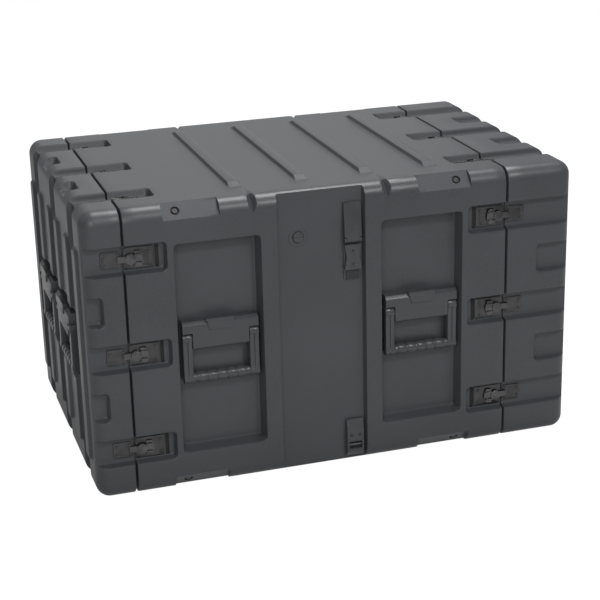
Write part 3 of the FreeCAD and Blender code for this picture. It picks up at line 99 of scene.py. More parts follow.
class ShellSizes(bpy.types.PropertyGroup):
    """Sizes of the moulded sleeve and lids."""

    edge_radius: length("Edge radius", "Rounding of the long outer edges", 0.028)
    wall: length("Wall", "Moulded wall thickness", 0.006)
    rim_depth: length("Rim depth", "Thickness of the ring at each rim", 0.024)
    rim_length: length("Rim length", "Length of the thick ring along the case", 0.012)
    tongue_inset: length("Tongue inset", "From the skin to the tongue", 0.018)
    tongue_thickness: length("Tongue thickness", "Thickness of the sealing tongue", 0.003)
    tongue_reach: length("Tongue reach", "How far the tongue stands out of the rim", 0.007)
    groove_depth: length("Groove depth", "Depth of the gasket groove in a lid", 0.008)
    groove_clearance: length("Groove clearance", "Tongue to each side of the groove", 0.001)
    rim_round: length("Rim rounding", "Rounding of the sleeve's and lids' rims", 0.0028)
    channel_depth: length("Channel depth", "Depth of a latch channel", 0.015)
    channel_width: length("Channel width", "Width of a latch channel at the skin", 0.057)
    channel_length: length("Channel length", "From the rim to the closed end", 0.081)
    channel_lean: length("Channel lean", "How far a channel's wall leans in", 0.003)
    panel_depth: length("Panel depth", "Depth of a side panel", 0.028)
    panel_width: length("Panel width", "Width of a side panel at the skin", 0.170)
    panel_low: length("Panel low edge", "Height of a side panel's lower edge", 0.076)
    panel_high: length("Panel high edge", "Height of a side panel's upper edge", 0.504)
    panel_lean: length("Panel lean", "How far a panel's wall leans in", 0.005)
    band_depth: length("Band depth", "Depth of the centre band", 0.015)
    band_width: length("Band width", "Width of the centre band", 0.177)
    band_lean: length("Band lean", "How far the band's wall leans in", 0.002)
    corner: length("Recess corner", "Rounding of a recess's outline", 0.010)
    lip: length("Lip radius", "Rounding where a recess meets the skin", 0.0028)
    fillet: length("Floor radius", "Rounding where a recess meets its floor", 0.0036)
    flat_length: length("Flat length", "Length of a flat across a long edge", 0.110)
    flat_x: length("Flat place", "Flat's distance from the case's middle", 0.255)
    boss_depth: length("Boss depth", "Moulded thickness behind a flat", 0.014)
    notch_x: length("Notch place", "Strap notch's distance from the middle", 0.135)
    notch_depth: length("Notch depth", "Depth of a strap notch", 0.014)
    notch_width: length("Notch width", "Width of a strap notch", 0.018)
    rib_rise: length("Rib height", "Height of a stacking rib", 0.008)
    rib_width: length("Rib width", "Width of a stacking rib", 0.025)
    rib_slope: length("Rib slope", "Length of a rib's sloped end", 0.024)
    rib_length: length("Rib length", "Length of a stacking rib", 0.482)
    rib_first: length("First rib", "Place of the first stacking rib", -0.148)
    rib_pitch: length("Rib pitch", "Distance between stacking ribs", 0.134)
    rib_gap: length("Rib gap", "Clearance of the grooves that take the ribs", 0.0015)
    pocket_width: length("Pocket width", "Width of a lid's side pocket", 0.060)
    pocket_lean: length("Pocket lean", "How far a pocket's wall leans in", 0.004)
    pocket_front: length("Front pocket start", "From the front lid's rim to its pockets", 0.041)
    pocket_rear: length("Rear pocket start", "From the rear lid's rim to its pockets", 0.065)
    end_depth: length("End channel depth", "Depth of an end face's channels", 0.012)
    well_depth: length("Well depth", "Depth of an end handle's seat", 0.013)
    well_margin: length("Well margin", "Room above and below an end handle", 0.005)
    pad_rise: length("Pad height", "Height of the strips on an end face", 0.006)
    pad_width: length("Pad width", "Width of a raised strip on an end face", 0.040)
    pad_low: length("Pad low end", "Height of the strips' lower end", 0.070)
    pad_gap: length("Pad gap", "Half the height of a gap in the corner strips", 0.040)
    pad_high: length("Pad high end", "Height of the strips' upper end", 0.500)
    step: length("Lattice step", "Longest face side on the flat skin", 0.030)
    rib_count: IntProperty(name="Ribs", description="Number of stacking ribs", default=4, min=1)
    corner_steps: IntProperty(name="Corner steps", description="Faces across half an edge's "
                              "rounding", default=6, min=2)


# ------------------------------------------------------------------ moulded lattice
def step_section(depth, lean, lip, fillet, start=0.0):
    """Section of a recess's wall: distance in from its outline, and depth, at each point."""
    run = np.array([lean, depth - start])
    along = run / np.linalg.norm(run)
    top, low = np.array([0.0, start]), np.array([lean, depth])
    bends = ((top - [lip, 0], top, top + along * lip),
             (low - along * fillet, low, low + [fillet, 0]))
    points = [a * (1 - t) ** 2 + 2 * b * t * (1 - t) + c * t * t
              for a, b, c in bends for t in (0.0, 0.5, 1.0)]
    return np.array(points)


def distance_in(u, v, box, corner):
    """Distance in from the outline of a rectangle with rounded corners."""
    u0, u1, v0, v1 = box
    qu = np.abs(u - (u0 + u1) / 2) - (u1 - u0) / 2 + corner
    qv = np.abs(v - (v0 + v1) / 2) - (v1 - v0) / 2 + corner
    outside = np.hypot(np.maximum(qu, 0.0), np.maximum(qv, 0.0))
    return corner - outside - np.minimum(np.maximum(qu, qv), 0.0)


class Recess:
    """A recess moulded into one face, or a pad raised on it, with a rounded outline."""

    def __init__(self, face, box, depth, lean, sizes, start=0.0):
        self.face, self.box = face, box
        self.corner = sizes.corner
        self.section = step_section(depth, lean, sizes.lip, sizes.fillet, start)

    def grown(self, wall):
        """The same recess as it is seen from inside the wall."""
        other = copy.copy(self)
        u0, u1, v0, v1 = self.box
        other.box = (u0 - wall, u1 + wall, v0 - wall, v1 + wall)
        other.corner = self.corner + wall
        return other

    def depth(self, u, v):
        """Depth below the skin at each point of the face."""
        inside = distance_in(u, v, self.box, self.corner)
        return np.interp(inside, *self.section.T, left=NOTHING)

    def lines(self, which):
        """Lattice places that follow the walls and corners along u (0) or v (1)."""
        low, high = self.box[2 * which:2 * which + 2]
        turn = (self.section[-1, 0] + self.corner) / 2
        steps = np.append(self.section[:, 0], [turn, self.corner])
        return [*(low + steps), *(high - steps)]

    def edges(self, which):
        """Only the outline and the floor's edge along u or v."""
        low, high = self.box[2 * which:2 * which + 2]
        deep = self.section[-1, 0]
        return [low, low + deep, high - deep, high]


class Rib(Recess):
    """A straight rib or groove: upright long sides and sloped ends."""

    def __init__(self, face, box, depth, slope, sizes):
        super().__init__(face, box, depth, sizes.lip / 2, sizes)
        self.ends = step_section(depth, slope, sizes.lip, sizes.lip)

    def depth(self, u, v):
        u0, u1, v0, v1 = self.box
        across = np.minimum(u - u0, u1 - u)
        along = np.minimum(v - v0, v1 - v)
        return np.minimum(np.interp(across, *self.section.T, left=NOTHING),
                          np.interp(along, *self.ends.T, left=NOTHING))

    def lines(self, which):
        low, high = self.box[2 * which:2 * which + 2]
        steps = (self.section, self.ends)[which][:, 0]
        return [*(low + steps), *(high - steps)]


def spaced(places, low, high, step, near=0.0005):
    """Sorted places between two ends, thinned where crowded and filled where far apart."""
    kept = [low]
    for value in sorted(places):
        if value - kept[-1] > near and high - value > near:
            kept.append(value)
    kept.append(high)
    lines = [low]
    for start, stop in zip(kept, kept[1:]):
        count = max(1, math.ceil((stop - start) / step))
        lines += [start + (stop - start) * k / count for k in range(1, count + 1)]
    return np.array(lines)


def grid(u, v, place):
    """Points over a lattice; place turns u and v into x, y and z."""
    mesh_u, mesh_v = np.meshgrid(u, v, indexing="ij")
    parts = np.broadcast_arrays(*place(mesh_u, mesh_v))
    return np.stack(parts, -1)


class Moulding:
    """A rounded tube, or a rounded tray if it has a depth, with recesses in its skin."""

    def __init__(self, sizes, half, height, depth=None):
        self.sizes, self.half, self.height, self.depth = sizes, half, height, depth
        self.recesses, self.rises, self.edge_cuts = [], [], []
        self.patches = []

    def outer_lines(self, which):
        """Lattice places along x, y or z that the outer skin's recesses ask for."""
        faces = FACE_AXES[which]
        return [place for shape in self.recesses + self.rises if shape.face in faces
                for place in shape.lines(faces[shape.face])]

    def inner_lines(self, which):
        """Lattice places along x, y or z that the inner skin asks for."""
        faces = FACE_AXES[which]
        return [place for shape in self.recesses if shape.face in faces
                for place in shape.grown(self.sizes.wall).edges(faces[shape.face])]

    def flat_lines(self):
        """Lattice places on the flat parts along y and z."""
        radius = self.sizes.edge_radius
        step = self.sizes.step
        across = self.outer_lines(1) + self.inner_lines(1)
        upward = self.outer_lines(2) + self.inner_lines(2)
        y = spaced([v for v in across if abs(v) < self.half - radius],
                   radius - self.half, self.half - radius, step)
        z = spaced([v for v in upward if radius < v < self.height - radius],
                   radius, self.height - radius, step)
        return y, z

    def turned_lines(self, flat, inset, low=True):
        """Flat lattice places with a corner's steps added at their ends."""
        angles = np.linspace(0.0, math.pi / 4, self.sizes.corner_steps + 1)[1:]
        steps = np.tan(angles) * (self.sizes.edge_radius - inset)
        first = [flat[0] - steps[::-1]] if low else []
        return np.concatenate(first + [flat, flat[-1] + steps])

    def rounded(self, points, inset):
        """Points on the box moved onto its rounded form."""
        radius = self.sizes.edge_radius - inset
        reach = self.sizes.edge_radius
        low = np.array([-1.0, reach - self.half, reach])
        high = np.array([1.0 if self.depth is None else self.depth - reach,
                         self.half - reach, self.height - reach])
        inner = np.clip(points, low, high)
        out = points - inner
        far = np.linalg.norm(out, axis=-1, keepdims=True)
        return inner + out / np.maximum(far, 1e-9) * radius

    def deepest(self, shapes, face, u, v):
        """Depth of the deepest of a face's recesses, or rise of its highest pad."""
        result = np.full(u.shape, NOTHING)
        for shape in shapes:
            if shape.face == face:
                result = np.maximum(result, shape.depth(u, v))
        return result

    def carved(self, points, inset, shapes):
        """Points held behind each recess's floor and lifted onto each raised part."""
        x, y, z = np.moveaxis(points, -1, 0)
        side = self.half - inset - self.deepest(shapes, "side", x, z)
        top = self.height - inset - self.deepest(shapes, "top", x, y)
        under = inset + self.deepest(shapes, "under", x, y)
        new_y = np.sign(y) * np.minimum(np.abs(y), side)
        new_z = np.maximum(np.minimum(z, top), under)
        new_x = x
        if inset < self.sizes.lip:
            lift = np.maximum(self.deepest(self.rises, "top", x, y), 0.0)
            new_z = new_z + lift * (z > self.height - 1e-6)
        if self.depth is not None:
            lift = np.maximum(self.deepest(self.rises, "end", y, z), 0.0)
            new_x = x + lift * (x > self.depth - self.sizes.edge_radius / 2)
            end = self.depth - inset - self.deepest(shapes, "end", y, z)
            new_x = np.minimum(new_x, end)
        points = np.stack([new_x, new_y, new_z], -1)
        for cut in self.edge_cuts:
            cut(points, inset)
        return points

    def skin(self, x, inset, shapes):
        """The faces of one skin, each as a lattice of points."""
        y, z = (self.turned_lines(flat, inset) for flat in self.flat_lines())
        wide, low, high = self.half - inset, inset, self.height - inset
        faces = [grid(x, z, lambda a, b: (a, side * wide, b)) for side in (-1.0, 1.0)]
        faces += [grid(x, y, lambda a, b: (a, b, level)) for level in (low, high)]
        if self.depth is not None:
            faces.append(grid(y, z, lambda a, b: (self.depth - inset, a, b)))
        for points in faces:
            self.patches.append(self.carved(self.rounded(points, inset), inset, shapes))

    def loop(self, x, inset, edge=0.0, shapes=None):
        """One ring of points round the case at a rim."""
        y, z = (self.turned_lines(flat, inset) for flat in self.flat_lines())
        wide, high = self.half - inset, self.height - inset
        ring = [(x, v, inset) for v in y[:-1]] + [(x, wide, v) for v in z[:-1]]
        ring += [(x, v, high) for v in y[:0:-1]] + [(x, -wide, v) for v in z[::-1]]
        held = self.recesses if shapes is None else shapes
        return self.carved(self.rounded(np.array(ring), inset), edge, held)

    def rim(self, path, end):
        """Joins rings from the outer skin, over the rim and its seal, to the inner skin."""
        wall = self.sizes.wall
        inner = [shape.grown(wall) for shape in self.recesses]
        rings = [self.loop(end * x, inset, edge) for x, inset, edge in path]
        rings.append(self.loop(end * path[-1][0], wall, wall, inner))
        self.patches.append(np.stack(rings))

    def mesh(self, name, place):
        """The closed mesh, with each point put in its place on the case."""
        points, faces, start = [], [], 0
        for patch in self.patches:
            count = patch.shape[0] * patch.shape[1]
            index = np.arange(start, start + count).reshape(patch.shape[:2])
            quads = np.stack([index[:-1, :-1], index[1:, :-1], index[1:, 1:], index[:-1, 1:]], -1)
            faces += quads.reshape(-1, 4).tolist()
            points += place(patch.reshape(-1, 3)).tolist()
            start += count
        mesh = bpy.data.meshes.new(name)
        mesh.from_pydata(points, [], faces)
        return mesh


def edge_cut(sizes, half, height, places, reach, limit, bottom_too):
    """A cut across the long edges; limit gives how far out its floor is on the diagonal."""
    away = sizes.edge_radius / 2

    def cut(points, inset):
        along = np.abs(np.abs(points[..., 0]) - places)
        allowed = limit(along, inset)
        for up in (1.0, -1.0) if bottom_too else (1.0,):
            level = height - away if up > 0 else away
            for side in (-1.0, 1.0):
                y, z = points[..., 1], points[..., 2]
                out = ((y * side - (half - away)) + (z - level) * up) / math.sqrt(2)
                over = np.maximum(out - allowed, 0.0) / math.sqrt(2)
                over = np.where(along < reach, over, 0.0)
                points[..., 1] -= over * side
                points[..., 2] -= over * up

    return cut


def flat_cut(sizes, half, height):
    """The flats that take the shock-mount bolts."""
    reach = sizes.flat_length / 2
    section = step_section(sizes.edge_radius, FLAT_LEAN, sizes.lip / 4, sizes.lip / 4)

    def limit(along, inset):
        if inset > 0:
            return np.full(along.shape, -sizes.boss_depth)
        return sizes.edge_radius - np.interp(reach - along, *section.T)

    return edge_cut(sizes, half, height, sizes.flat_x, reach + sizes.wall, limit, True)


def notch_cut(sizes, half, height):
    """The strap notches in the top edges."""
    reach = sizes.notch_width / 2
    crest = sizes.edge_radius * HALF_DIAGONAL
    ease = sizes.lip / 2

    def limit(along, inset):
        if inset > 0:
            return np.full(along.shape, -sizes.boss_depth)
        slope = along / reach * sizes.notch_depth
        return crest - sizes.notch_depth + np.hypot(slope, ease)

    return edge_cut(sizes, half, height, sizes.notch_x, reach + sizes.wall, limit, False)


def latch_levels():
    """Heights of the side latches and places of the top ones, from the CAD."""
    side = [middle(f"latch_front_right_{level}", 2) for level in LEVELS]
    top = [middle(f"latch_front_top_{column}", 1) for column in COLUMNS]
    return side, top


def handle_columns():
    """Places across the case of the end handles, from the CAD."""
    return [middle(f"front_handle_{side}", 1) for side in ("left", "right")]


def channels(sizes, span):
    """Latch channels in the sides and the top over a span along the case."""
    side, top = latch_levels()
    half = sizes.channel_width / 2
    shape = (sizes.channel_depth, sizes.channel_lean, sizes)
    made = [Recess("side", (*span, z - half, z + half), *shape) for z in side]
    return made + [Recess("top", (*span, y - half, y + half), *shape) for y in top]


def sleeve(sizes):
    """The body's moulding, with its channels, panels, bands, ribs, flats and notches."""
    low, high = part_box("body_shell")
    rim = high.x - sizes.tongue_reach
    form = Moulding(sizes, high.y, high.z - sizes.rib_rise)
    beyond = rim + sizes.channel_depth
    for span in ((rim - sizes.channel_length, beyond), (-beyond, sizes.channel_length - rim)):
        form.recesses += channels(sizes, span)
    for name in ("front", "rear"):
        centre = middle(f"side_handle_right_{name}", 0)
        box = (centre - sizes.panel_width / 2, centre + sizes.panel_width / 2,
               sizes.panel_low, sizes.panel_high)
        form.recesses.append(Recess("side", box, sizes.panel_depth, sizes.panel_lean, sizes))
    half = sizes.band_width / 2
    past = sizes.edge_radius
    band = (-half, half, low.z - past, form.height + past)
    form.recesses.append(Recess("side", band, sizes.band_depth, sizes.band_lean, sizes))
    across, along = sizes.rib_width / 2, sizes.rib_length / 2
    for count in range(sizes.rib_count):
        x = sizes.rib_first + count * sizes.rib_pitch
        rib = (x - across, x + across, -along, along)
        form.rises.append(Rib("top", rib, sizes.rib_rise, sizes.rib_slope, sizes))
        gap = sizes.rib_gap
        groove = (x - across - gap, x + across + gap, -along - gap, along + gap)
        form.recesses.append(
            Rib("under", groove, sizes.rib_rise + gap, sizes.rib_slope, sizes))
    form.edge_cuts = [flat_cut(sizes, form.half, form.height),
                      notch_cut(sizes, form.half, form.height)]
    return form, rim


def rim_path(sizes, rim, reach, start):
    """Rings over a sleeve's rim, as (place along the case, inset, edge inset)."""
    lip = sizes.rim_round
    easing = lip * HALF_DIAGONAL
    seal_in = sizes.tongue_inset + sizes.tongue_thickness
    path = [(rim - lip, 0.0), (rim - easing, easing), (rim, lip), (rim, sizes.tongue_inset),
            (rim + reach, sizes.tongue_inset), (rim + reach, seal_in), (rim, seal_in),
            (rim, sizes.rim_depth), (start, sizes.rim_depth)]
    return [(x, inset, 0.0) for x, inset in path]


def sleeve_mesh(sizes):
    """The body's closed mesh: outer and inner skin, joined over both rims."""
    form, rim = sleeve(sizes)
    lip = sizes.rim_round
    start = rim - sizes.rim_length
    inner = [shape.grown(sizes.wall) for shape in form.recesses]
    edge = sizes.flat_length / 2
    reach = sizes.notch_width / 2
    outer_places, inner_places = form.outer_lines(0), form.inner_lines(0)
    for centre in (-sizes.flat_x, sizes.flat_x):
        for sign in (-1, 1):
            outer_places += [centre + sign * (edge - step) for step in FLAT_STEPS]
            inner_places.append(centre + sign * (edge + sizes.wall))
    for centre in (-sizes.notch_x, sizes.notch_x):
        outer_places += [centre + reach * k / 4 for k in range(-4, 5)]
        inner_places += [centre - reach - sizes.wall, centre + reach + sizes.wall]
    edge_x = rim - lip
    outer_x = spaced([v for v in outer_places if abs(v) < edge_x], -edge_x, edge_x, sizes.step)
    inner_x = spaced([v for v in inner_places if abs(v) < start], -start, start, sizes.step)
    form.skin(outer_x, 0.0, form.recesses)
    form.skin(inner_x, sizes.wall, inner)
    path = rim_path(sizes, rim, sizes.tongue_reach, start)
    form.rim(path, 1.0)
    form.rim(path, -1.0)
    return form.mesh("body_shell_looks", lambda points: points)


def strip_spans(sizes, side):
    """Heights of a corner strip's parts, which leave out the side pockets."""
    gaps = [(side[0] + side[1]) / 2, (side[1] + side[2]) / 2]
    ends = [sizes.pad_low]
    for gap in gaps:
        ends += [gap - sizes.pad_gap, gap + sizes.pad_gap]
    ends.append(sizes.pad_high)
    return list(zip(ends[::2], ends[1::2]))


def lid(sizes, name):
    """A lid's moulding from its rim, at 0, to its end face."""
    low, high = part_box(f"{name}_lid_shell")
    far = max(abs(low.x), abs(high.x))
    near = min(abs(low.x), abs(high.x))
    depth = far - near - sizes.pad_rise
    form = Moulding(sizes, high.y, high.z, depth)
    beyond = depth + sizes.edge_radius
    form.recesses += channels(sizes, (-sizes.edge_radius, beyond))
    half = sizes.pocket_width / 2
    start = sizes.pocket_front if name == "front" else sizes.pocket_rear
    side, top = latch_levels()
    shape = (sizes.channel_depth, sizes.pocket_lean, sizes)
    for z in ((side[0] + side[1]) / 2, (side[1] + side[2]) / 2):
        form.recesses.append(Recess("side", (start, beyond, z - half, z + half), *shape))
    for y in handle_columns():
        form.recesses.append(Recess("top", (start, beyond, y - half, y + half), *shape))
    half = sizes.channel_width / 2
    tall = high.z + sizes.edge_radius
    for y in top:
        box = (y - half, y + half, -sizes.edge_radius, tall)
        form.recesses.append(Recess("end", box, sizes.end_depth, sizes.channel_lean, sizes))
        for sign in (-1, 1):
            edges = sorted((y + sign * half, y + sign * (half + sizes.pad_width)))
            limit = high.y - sizes.edge_radius / 2
            across = (max(edges[0], -limit), min(edges[1], limit))
            outermost = limit in (across[1], -across[0])
            whole = [(sizes.pad_low, sizes.pad_high)]
            for span in strip_spans(sizes, side) if outermost else whole:
                form.rises.append(Recess("end", (*across, *span), sizes.pad_rise, sizes.lip,
                                         sizes))
    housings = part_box(f"{name}_handle_housings")
    width = (housings[1].y - housings[0].y) - abs(handle_columns()[0] - handle_columns()[1])
    half = width / 2 + sizes.rib_gap
    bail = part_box(f"{name}_handle_left")
    low_z = min(bail[0].z, housings[0].z) - sizes.well_margin
    for y in handle_columns():
        box = (y - half, y + half, low_z, housings[1].z + sizes.well_margin)
        form.recesses.append(Recess("end", box, sizes.well_depth, sizes.lip / 2, sizes))
    return form, near


def lid_mesh(sizes, name, end):
    """A lid's closed mesh, on its own end of the case."""
    form, rim = lid(sizes, name)
    lip = sizes.rim_round
    easing = lip * HALF_DIAGONAL
    inner = [shape.grown(sizes.wall) for shape in form.recesses]
    angles = np.linspace(0.0, math.pi / 4, sizes.corner_steps + 1)[1:]
    skins = ((0.0, form.recesses, lip, form.outer_lines(0)),
             (sizes.wall, inner, sizes.rim_length, form.inner_lines(0)))
    for inset, shapes, start, places in skins:
        turn = form.depth - sizes.edge_radius
        flat = spaced([v for v in places if start < v < turn], start, turn, sizes.step)
        x = np.append(flat, turn + np.tan(angles) * (sizes.edge_radius - inset))
        form.skin(x, inset, shapes)
    groove_out = sizes.tongue_inset - sizes.groove_clearance
    groove_in = sizes.tongue_inset + sizes.tongue_thickness + sizes.groove_clearance
    path = [(lip, 0.0), (easing, easing), (0.0, lip), (0.0, groove_out),
            (sizes.groove_depth, groove_out), (sizes.groove_depth, groove_in), (0.0, groove_in),
            (0.0, sizes.rim_depth), (sizes.rim_length, sizes.rim_depth)]
    form.rim([(x, inset, 0.0) for x, inset in path], 1.0)

    def place(points):
        return (points + [rim, 0.0, 0.0]) * [end, 1.0, 1.0]

    return form.mesh(f"{name}_lid_looks", place)


# ------------------------------------------------------------------ materials
class Finishes(bpy.types.PropertyGroup):
    """Colours of the case and its fittings."""

    plastic: tint("Case", "Moulded case plastic", (0.058, 0.0615, 0.068))
    handle: tint("Handles", "Handle housings", (0.056, 0.0595, 0.0655))
    grip: tint("Grips", "Handle bails", (0.060, 0.0635, 0.070))
    steel: tint("Latch steel", "Latch bases, keepers and wings", (0.092, 0.091, 0.094))
    zinc: tint("Zinc", "Zinc-plated bolts and nuts", (0.09, 0.088, 0.086))
    black: tint("Black", "Black painted steel", (0.030, 0.030, 0.032))
    rubber: tint("Rubber", "Rubber mounts and gaskets", (0.022, 0.022, 0.023))
    web: tint("Webbing", "Tie-down webbing", (0.030, 0.031, 0.033))
    grain: length("Grain", "Size of the moulded grain", 0.0011)


class Wire:
    """A shader socket that Python arithmetic works on."""

    def __init__(self, graph, socket):
        self.graph, self.socket = graph, socket

    def _math(self, operation, *values):
        node = self.graph.node("ShaderNodeMath", {"operation": operation}, *values)
        return Wire(self.graph, node.outputs[0])

    def __add__(self, other):
        return self._math("ADD", self, other)

    def __radd__(self, other):
        return self._math("ADD", other, self)

    def __sub__(self, other):
        return self._math("SUBTRACT", self, other)

    def __rsub__(self, other):
        return self._math("SUBTRACT", other, self)

    def __mul__(self, other):
        return self._math("MULTIPLY", self, other)

    def __rmul__(self, other):
        return self._math("MULTIPLY", other, self)

    def wave(self):
        return self._math("SINE", self)

    def eased(self, low, high, to_low=0.0, to_high=1.0):
        """Smoothly from to_low at low to to_high at high."""
        node = self.graph.node("ShaderNodeMapRange", {"interpolation_type": "SMOOTHSTEP"},
                               self, low, high, to_low, to_high)
        return Wire(self.graph, node.outputs["Result"])


class Graph:
    """A node tree whose nodes come from one method."""

    def __init__(self, tree):
        self.tree = tree

    def node(self, kind, settings=None, *values, **named):
        """A node with its settings, then its sockets' values or links."""
        node = self.tree.nodes.new(kind)
        for key, value in (settings or {}).items():
            setattr(node, key, value)
        pairs = list(zip(node.inputs, values))
        pairs += [(node.inputs[key.replace("_", " ")], value) for key, value in named.items()]
        for socket, value in pairs:
            self.join(socket, value)
        return node

    def join(self, socket, value):
        """Links a wire to a socket, or sets the socket's own value."""
        if isinstance(value, Wire):
            self.tree.links.new(value.socket, socket)
        elif value is not None:
            socket.default_value = value


class Finish(Graph):
    """A procedural material; its patterns sit on the piece's own Object coordinates."""

    def __init__(self, name):
        self.material = bpy.data.materials.new(name)
        self.material.use_nodes = True
        super().__init__(self.material.node_tree)
        self.shader = self.tree.nodes["Principled BSDF"]
        place = self.node("ShaderNodeTexCoord")
        self.place = Wire(self, place.outputs["Object"])

    def noise(self, size, detail=2.0, roughness=0.5, place=None):
        """Noise from 0 to 1 whose features are about size metres."""
        node = self.node("ShaderNodeTexNoise", None, Vector=place or self.place,
                         Scale=1.0 / size, Detail=detail, Roughness=roughness)
        return Wire(self, node.outputs[0])

    def stretched(self, scale):
        """The place with each axis scaled, which stretches a pattern."""
        node = self.node("ShaderNodeVectorMath", {"operation": "MULTIPLY"}, self.place, scale)
        return Wire(self, node.outputs["Vector"])

    def axes(self):
        """The place's x, y and z."""
        node = self.node("ShaderNodeSeparateXYZ", None, self.place)
        return [Wire(self, socket) for socket in node.outputs]

    def mixed(self, factor, first, second):
        """Colour from first to second as the factor goes from 0 to 1."""
        node = self.tree.nodes.new("ShaderNodeMix")
        node.data_type = "RGBA"
        for index, value in ((0, factor), (6, first), (7, second)):
            if isinstance(value, Wire) or index == 0:
                self.join(node.inputs[index], value)
            else:
                node.inputs[index].default_value = (*value, 1.0)
        return Wire(self, node.outputs[2])

    def bumped(self, height, distance, strength=1.0, normal=None):
        """Bump from a height of 0 to 1 that stands distance metres."""
        node = self.node("ShaderNodeBump", None, Height=height, Distance=distance,
                         Strength=strength, Normal=normal)
        return Wire(self, node.outputs["Normal"])

    def set(self, **values):
        """Sets the shader's sockets: numbers and colours directly, the rest as links."""
        for key, value in values.items():
            socket = self.shader.inputs[key.replace("_", " ")]
            if isinstance(value, tuple) and len(value) == 3:
                value = (*value, 1.0)
            self.join(socket, value)
        return self.material


def scaled(colour, factor):
    """A lighter or darker colour."""
    return tuple(channel * factor for channel in colour)


def moulded(name, colour, grain, rough=0.38):
    """Rotationally moulded plastic: fine leathery grain, faint clouds and scuffs."""
    look = Finish(name)
    colour = tuple(colour)
    clouds = look.noise(0.16, 3.0)
    fine = look.noise(grain, 2.0, 0.55)
    speckle = look.noise(grain * 2.6, 1.0)
    scuffs = look.noise(0.010, 4.0, 0.7, look.stretched((1.0, 1.0, 0.35)))
    worn = scuffs.eased(0.62, 0.82) * clouds.eased(0.35, 0.75)
    base = look.mixed(clouds.eased(0.3, 0.7), scaled(colour, 0.92), scaled(colour, 1.08))
    base = look.mixed(speckle.eased(0.35, 0.75, 0.0, 0.5), base, scaled(colour, 1.22))
    base = look.mixed(worn * 0.22, base, scaled(colour, 1.9))
    roughness = rough + (clouds - 0.5) * 0.10 + worn * 0.10 - (fine - 0.5) * 0.10
    normal = look.bumped(fine, grain * 0.16, 0.55)
    normal = look.bumped(speckle, grain * 0.20, 0.35, normal)
    return look.set(Base_Color=base, Roughness=roughness, Normal=normal, IOR=1.46)


def metallic(name, colour, rough, streak=0.5, dark=0.78):
    """Plated steel with faint brushing and stained patches."""
    look = Finish(name)
    colour = tuple(colour)
    patches = look.noise(0.020, 2.0, 0.5)
    lines = look.noise(0.0006, 2.0, 0.5, look.stretched((1.0, 1.0, 0.08)))
    base = look.mixed(patches.eased(0.35, 0.75), colour, scaled(colour, dark))
    roughness = rough + (patches - 0.5) * 0.25 + (lines - 0.5) * 0.15 * streak
    normal = look.bumped(lines, 0.00004, streak)
    return look.set(Base_Color=base, Roughness=roughness, Metallic=1.0, Normal=normal)


def painted(name, colour, rough=0.42):
    """Powder-coated steel with an orange-peel surface."""
    look = Finish(name)
    colour = tuple(colour)
    peel = look.noise(0.0012, 1.0)
    dust = look.noise(0.05, 4.0)
    base = look.mixed(dust.eased(0.45, 0.8, 0.0, 0.25), colour, scaled(colour, 2.2))
    roughness = rough + (dust - 0.5) * 0.12
    normal = look.bumped(peel, 0.00008, 0.6)
    return look.set(Base_Color=base, Roughness=roughness, Normal=normal)


def elastic(name, colour):
    """Rubber: dark, soft and dull."""
    look = Finish(name)
    colour = tuple(colour)
    bloom = look.noise(0.02, 4.0)
    base = look.mixed(bloom.eased(0.4, 0.8, 0.0, 0.4), colour, scaled(colour, 1.8))
    return look.set(Base_Color=base, Roughness=0.72 + (bloom - 0.5) * 0.12,
                    Normal=look.bumped(look.noise(0.0015, 2.0), 0.00005, 0.5))


def woven(name, colour):
    """Webbing: ribs along the strap, crossed by finer picks."""
    look = Finish(name)
    colour = tuple(colour)
    x, y, z = look.axes()
    ribs = (x * (2 * math.pi / 0.0022)).wave()
    picks = (z * (2 * math.pi / 0.0014)).wave()
    weave = (ribs * picks) * 0.5 + 0.5
    base = look.mixed(weave.eased(0.1, 0.9), scaled(colour, 0.6), scaled(colour, 1.5))
    return look.set(Base_Color=base, Roughness=0.8 - weave * 0.12,
                    Normal=look.bumped(weave, 0.0003, 0.7))


def material_for(slot):
    """The material of one of the record's slots, made the first time it is asked for."""
    name = f"{slot}_finish"
    known = bpy.data.materials.get(name)
    if known:
        return known
    tone = bpy.context.scene.rack_finishes
    makers = {
        "case_shell": lambda: moulded(name, tone.plastic, tone.grain),
        "frame_steel": lambda: painted(name, tone.black),
        "rail_steel": lambda: painted(name, scaled(tone.black, 1.6), 0.36),
        "rubber": lambda: elastic(name, tone.rubber),
        # Near-black rubber: the gaskets' own colour, and also the painted shade on the slabs in
        # the latch slots.
        "gasket_rubber": lambda: elastic(name, scaled(tone.rubber, 0.35)),
        "zinc_steel": lambda: metallic(name, tone.zinc, 0.40),
        "rivet_steel": lambda: metallic(name, scaled(tone.steel, 0.9), 0.38),
        "black_screw": lambda: painted(name, scaled(tone.black, 1.2), 0.35),
        "handle_plastic": lambda: moulded(name, tone.handle, tone.grain * 0.8, 0.34),
        "grip_plastic": lambda: moulded(name, tone.grip, tone.grain * 0.8, 0.30),
        "latch_steel": lambda: metallic(name, tone.steel, 0.34),
        "latch_turn_steel": lambda: metallic(name, scaled(tone.steel, 1.3), 0.28),
        "valve_plastic": lambda: moulded(name, tone.handle, tone.grain * 0.7, 0.33),
        "buckle_plastic": lambda: moulded(name, tone.handle, tone.grain * 0.7, 0.33),
        "buckle_steel": lambda: painted(name, scaled(tone.handle, 0.8), 0.34),
        "webbing": lambda: woven(name, tone.web),
    }
    return makers[slot]()


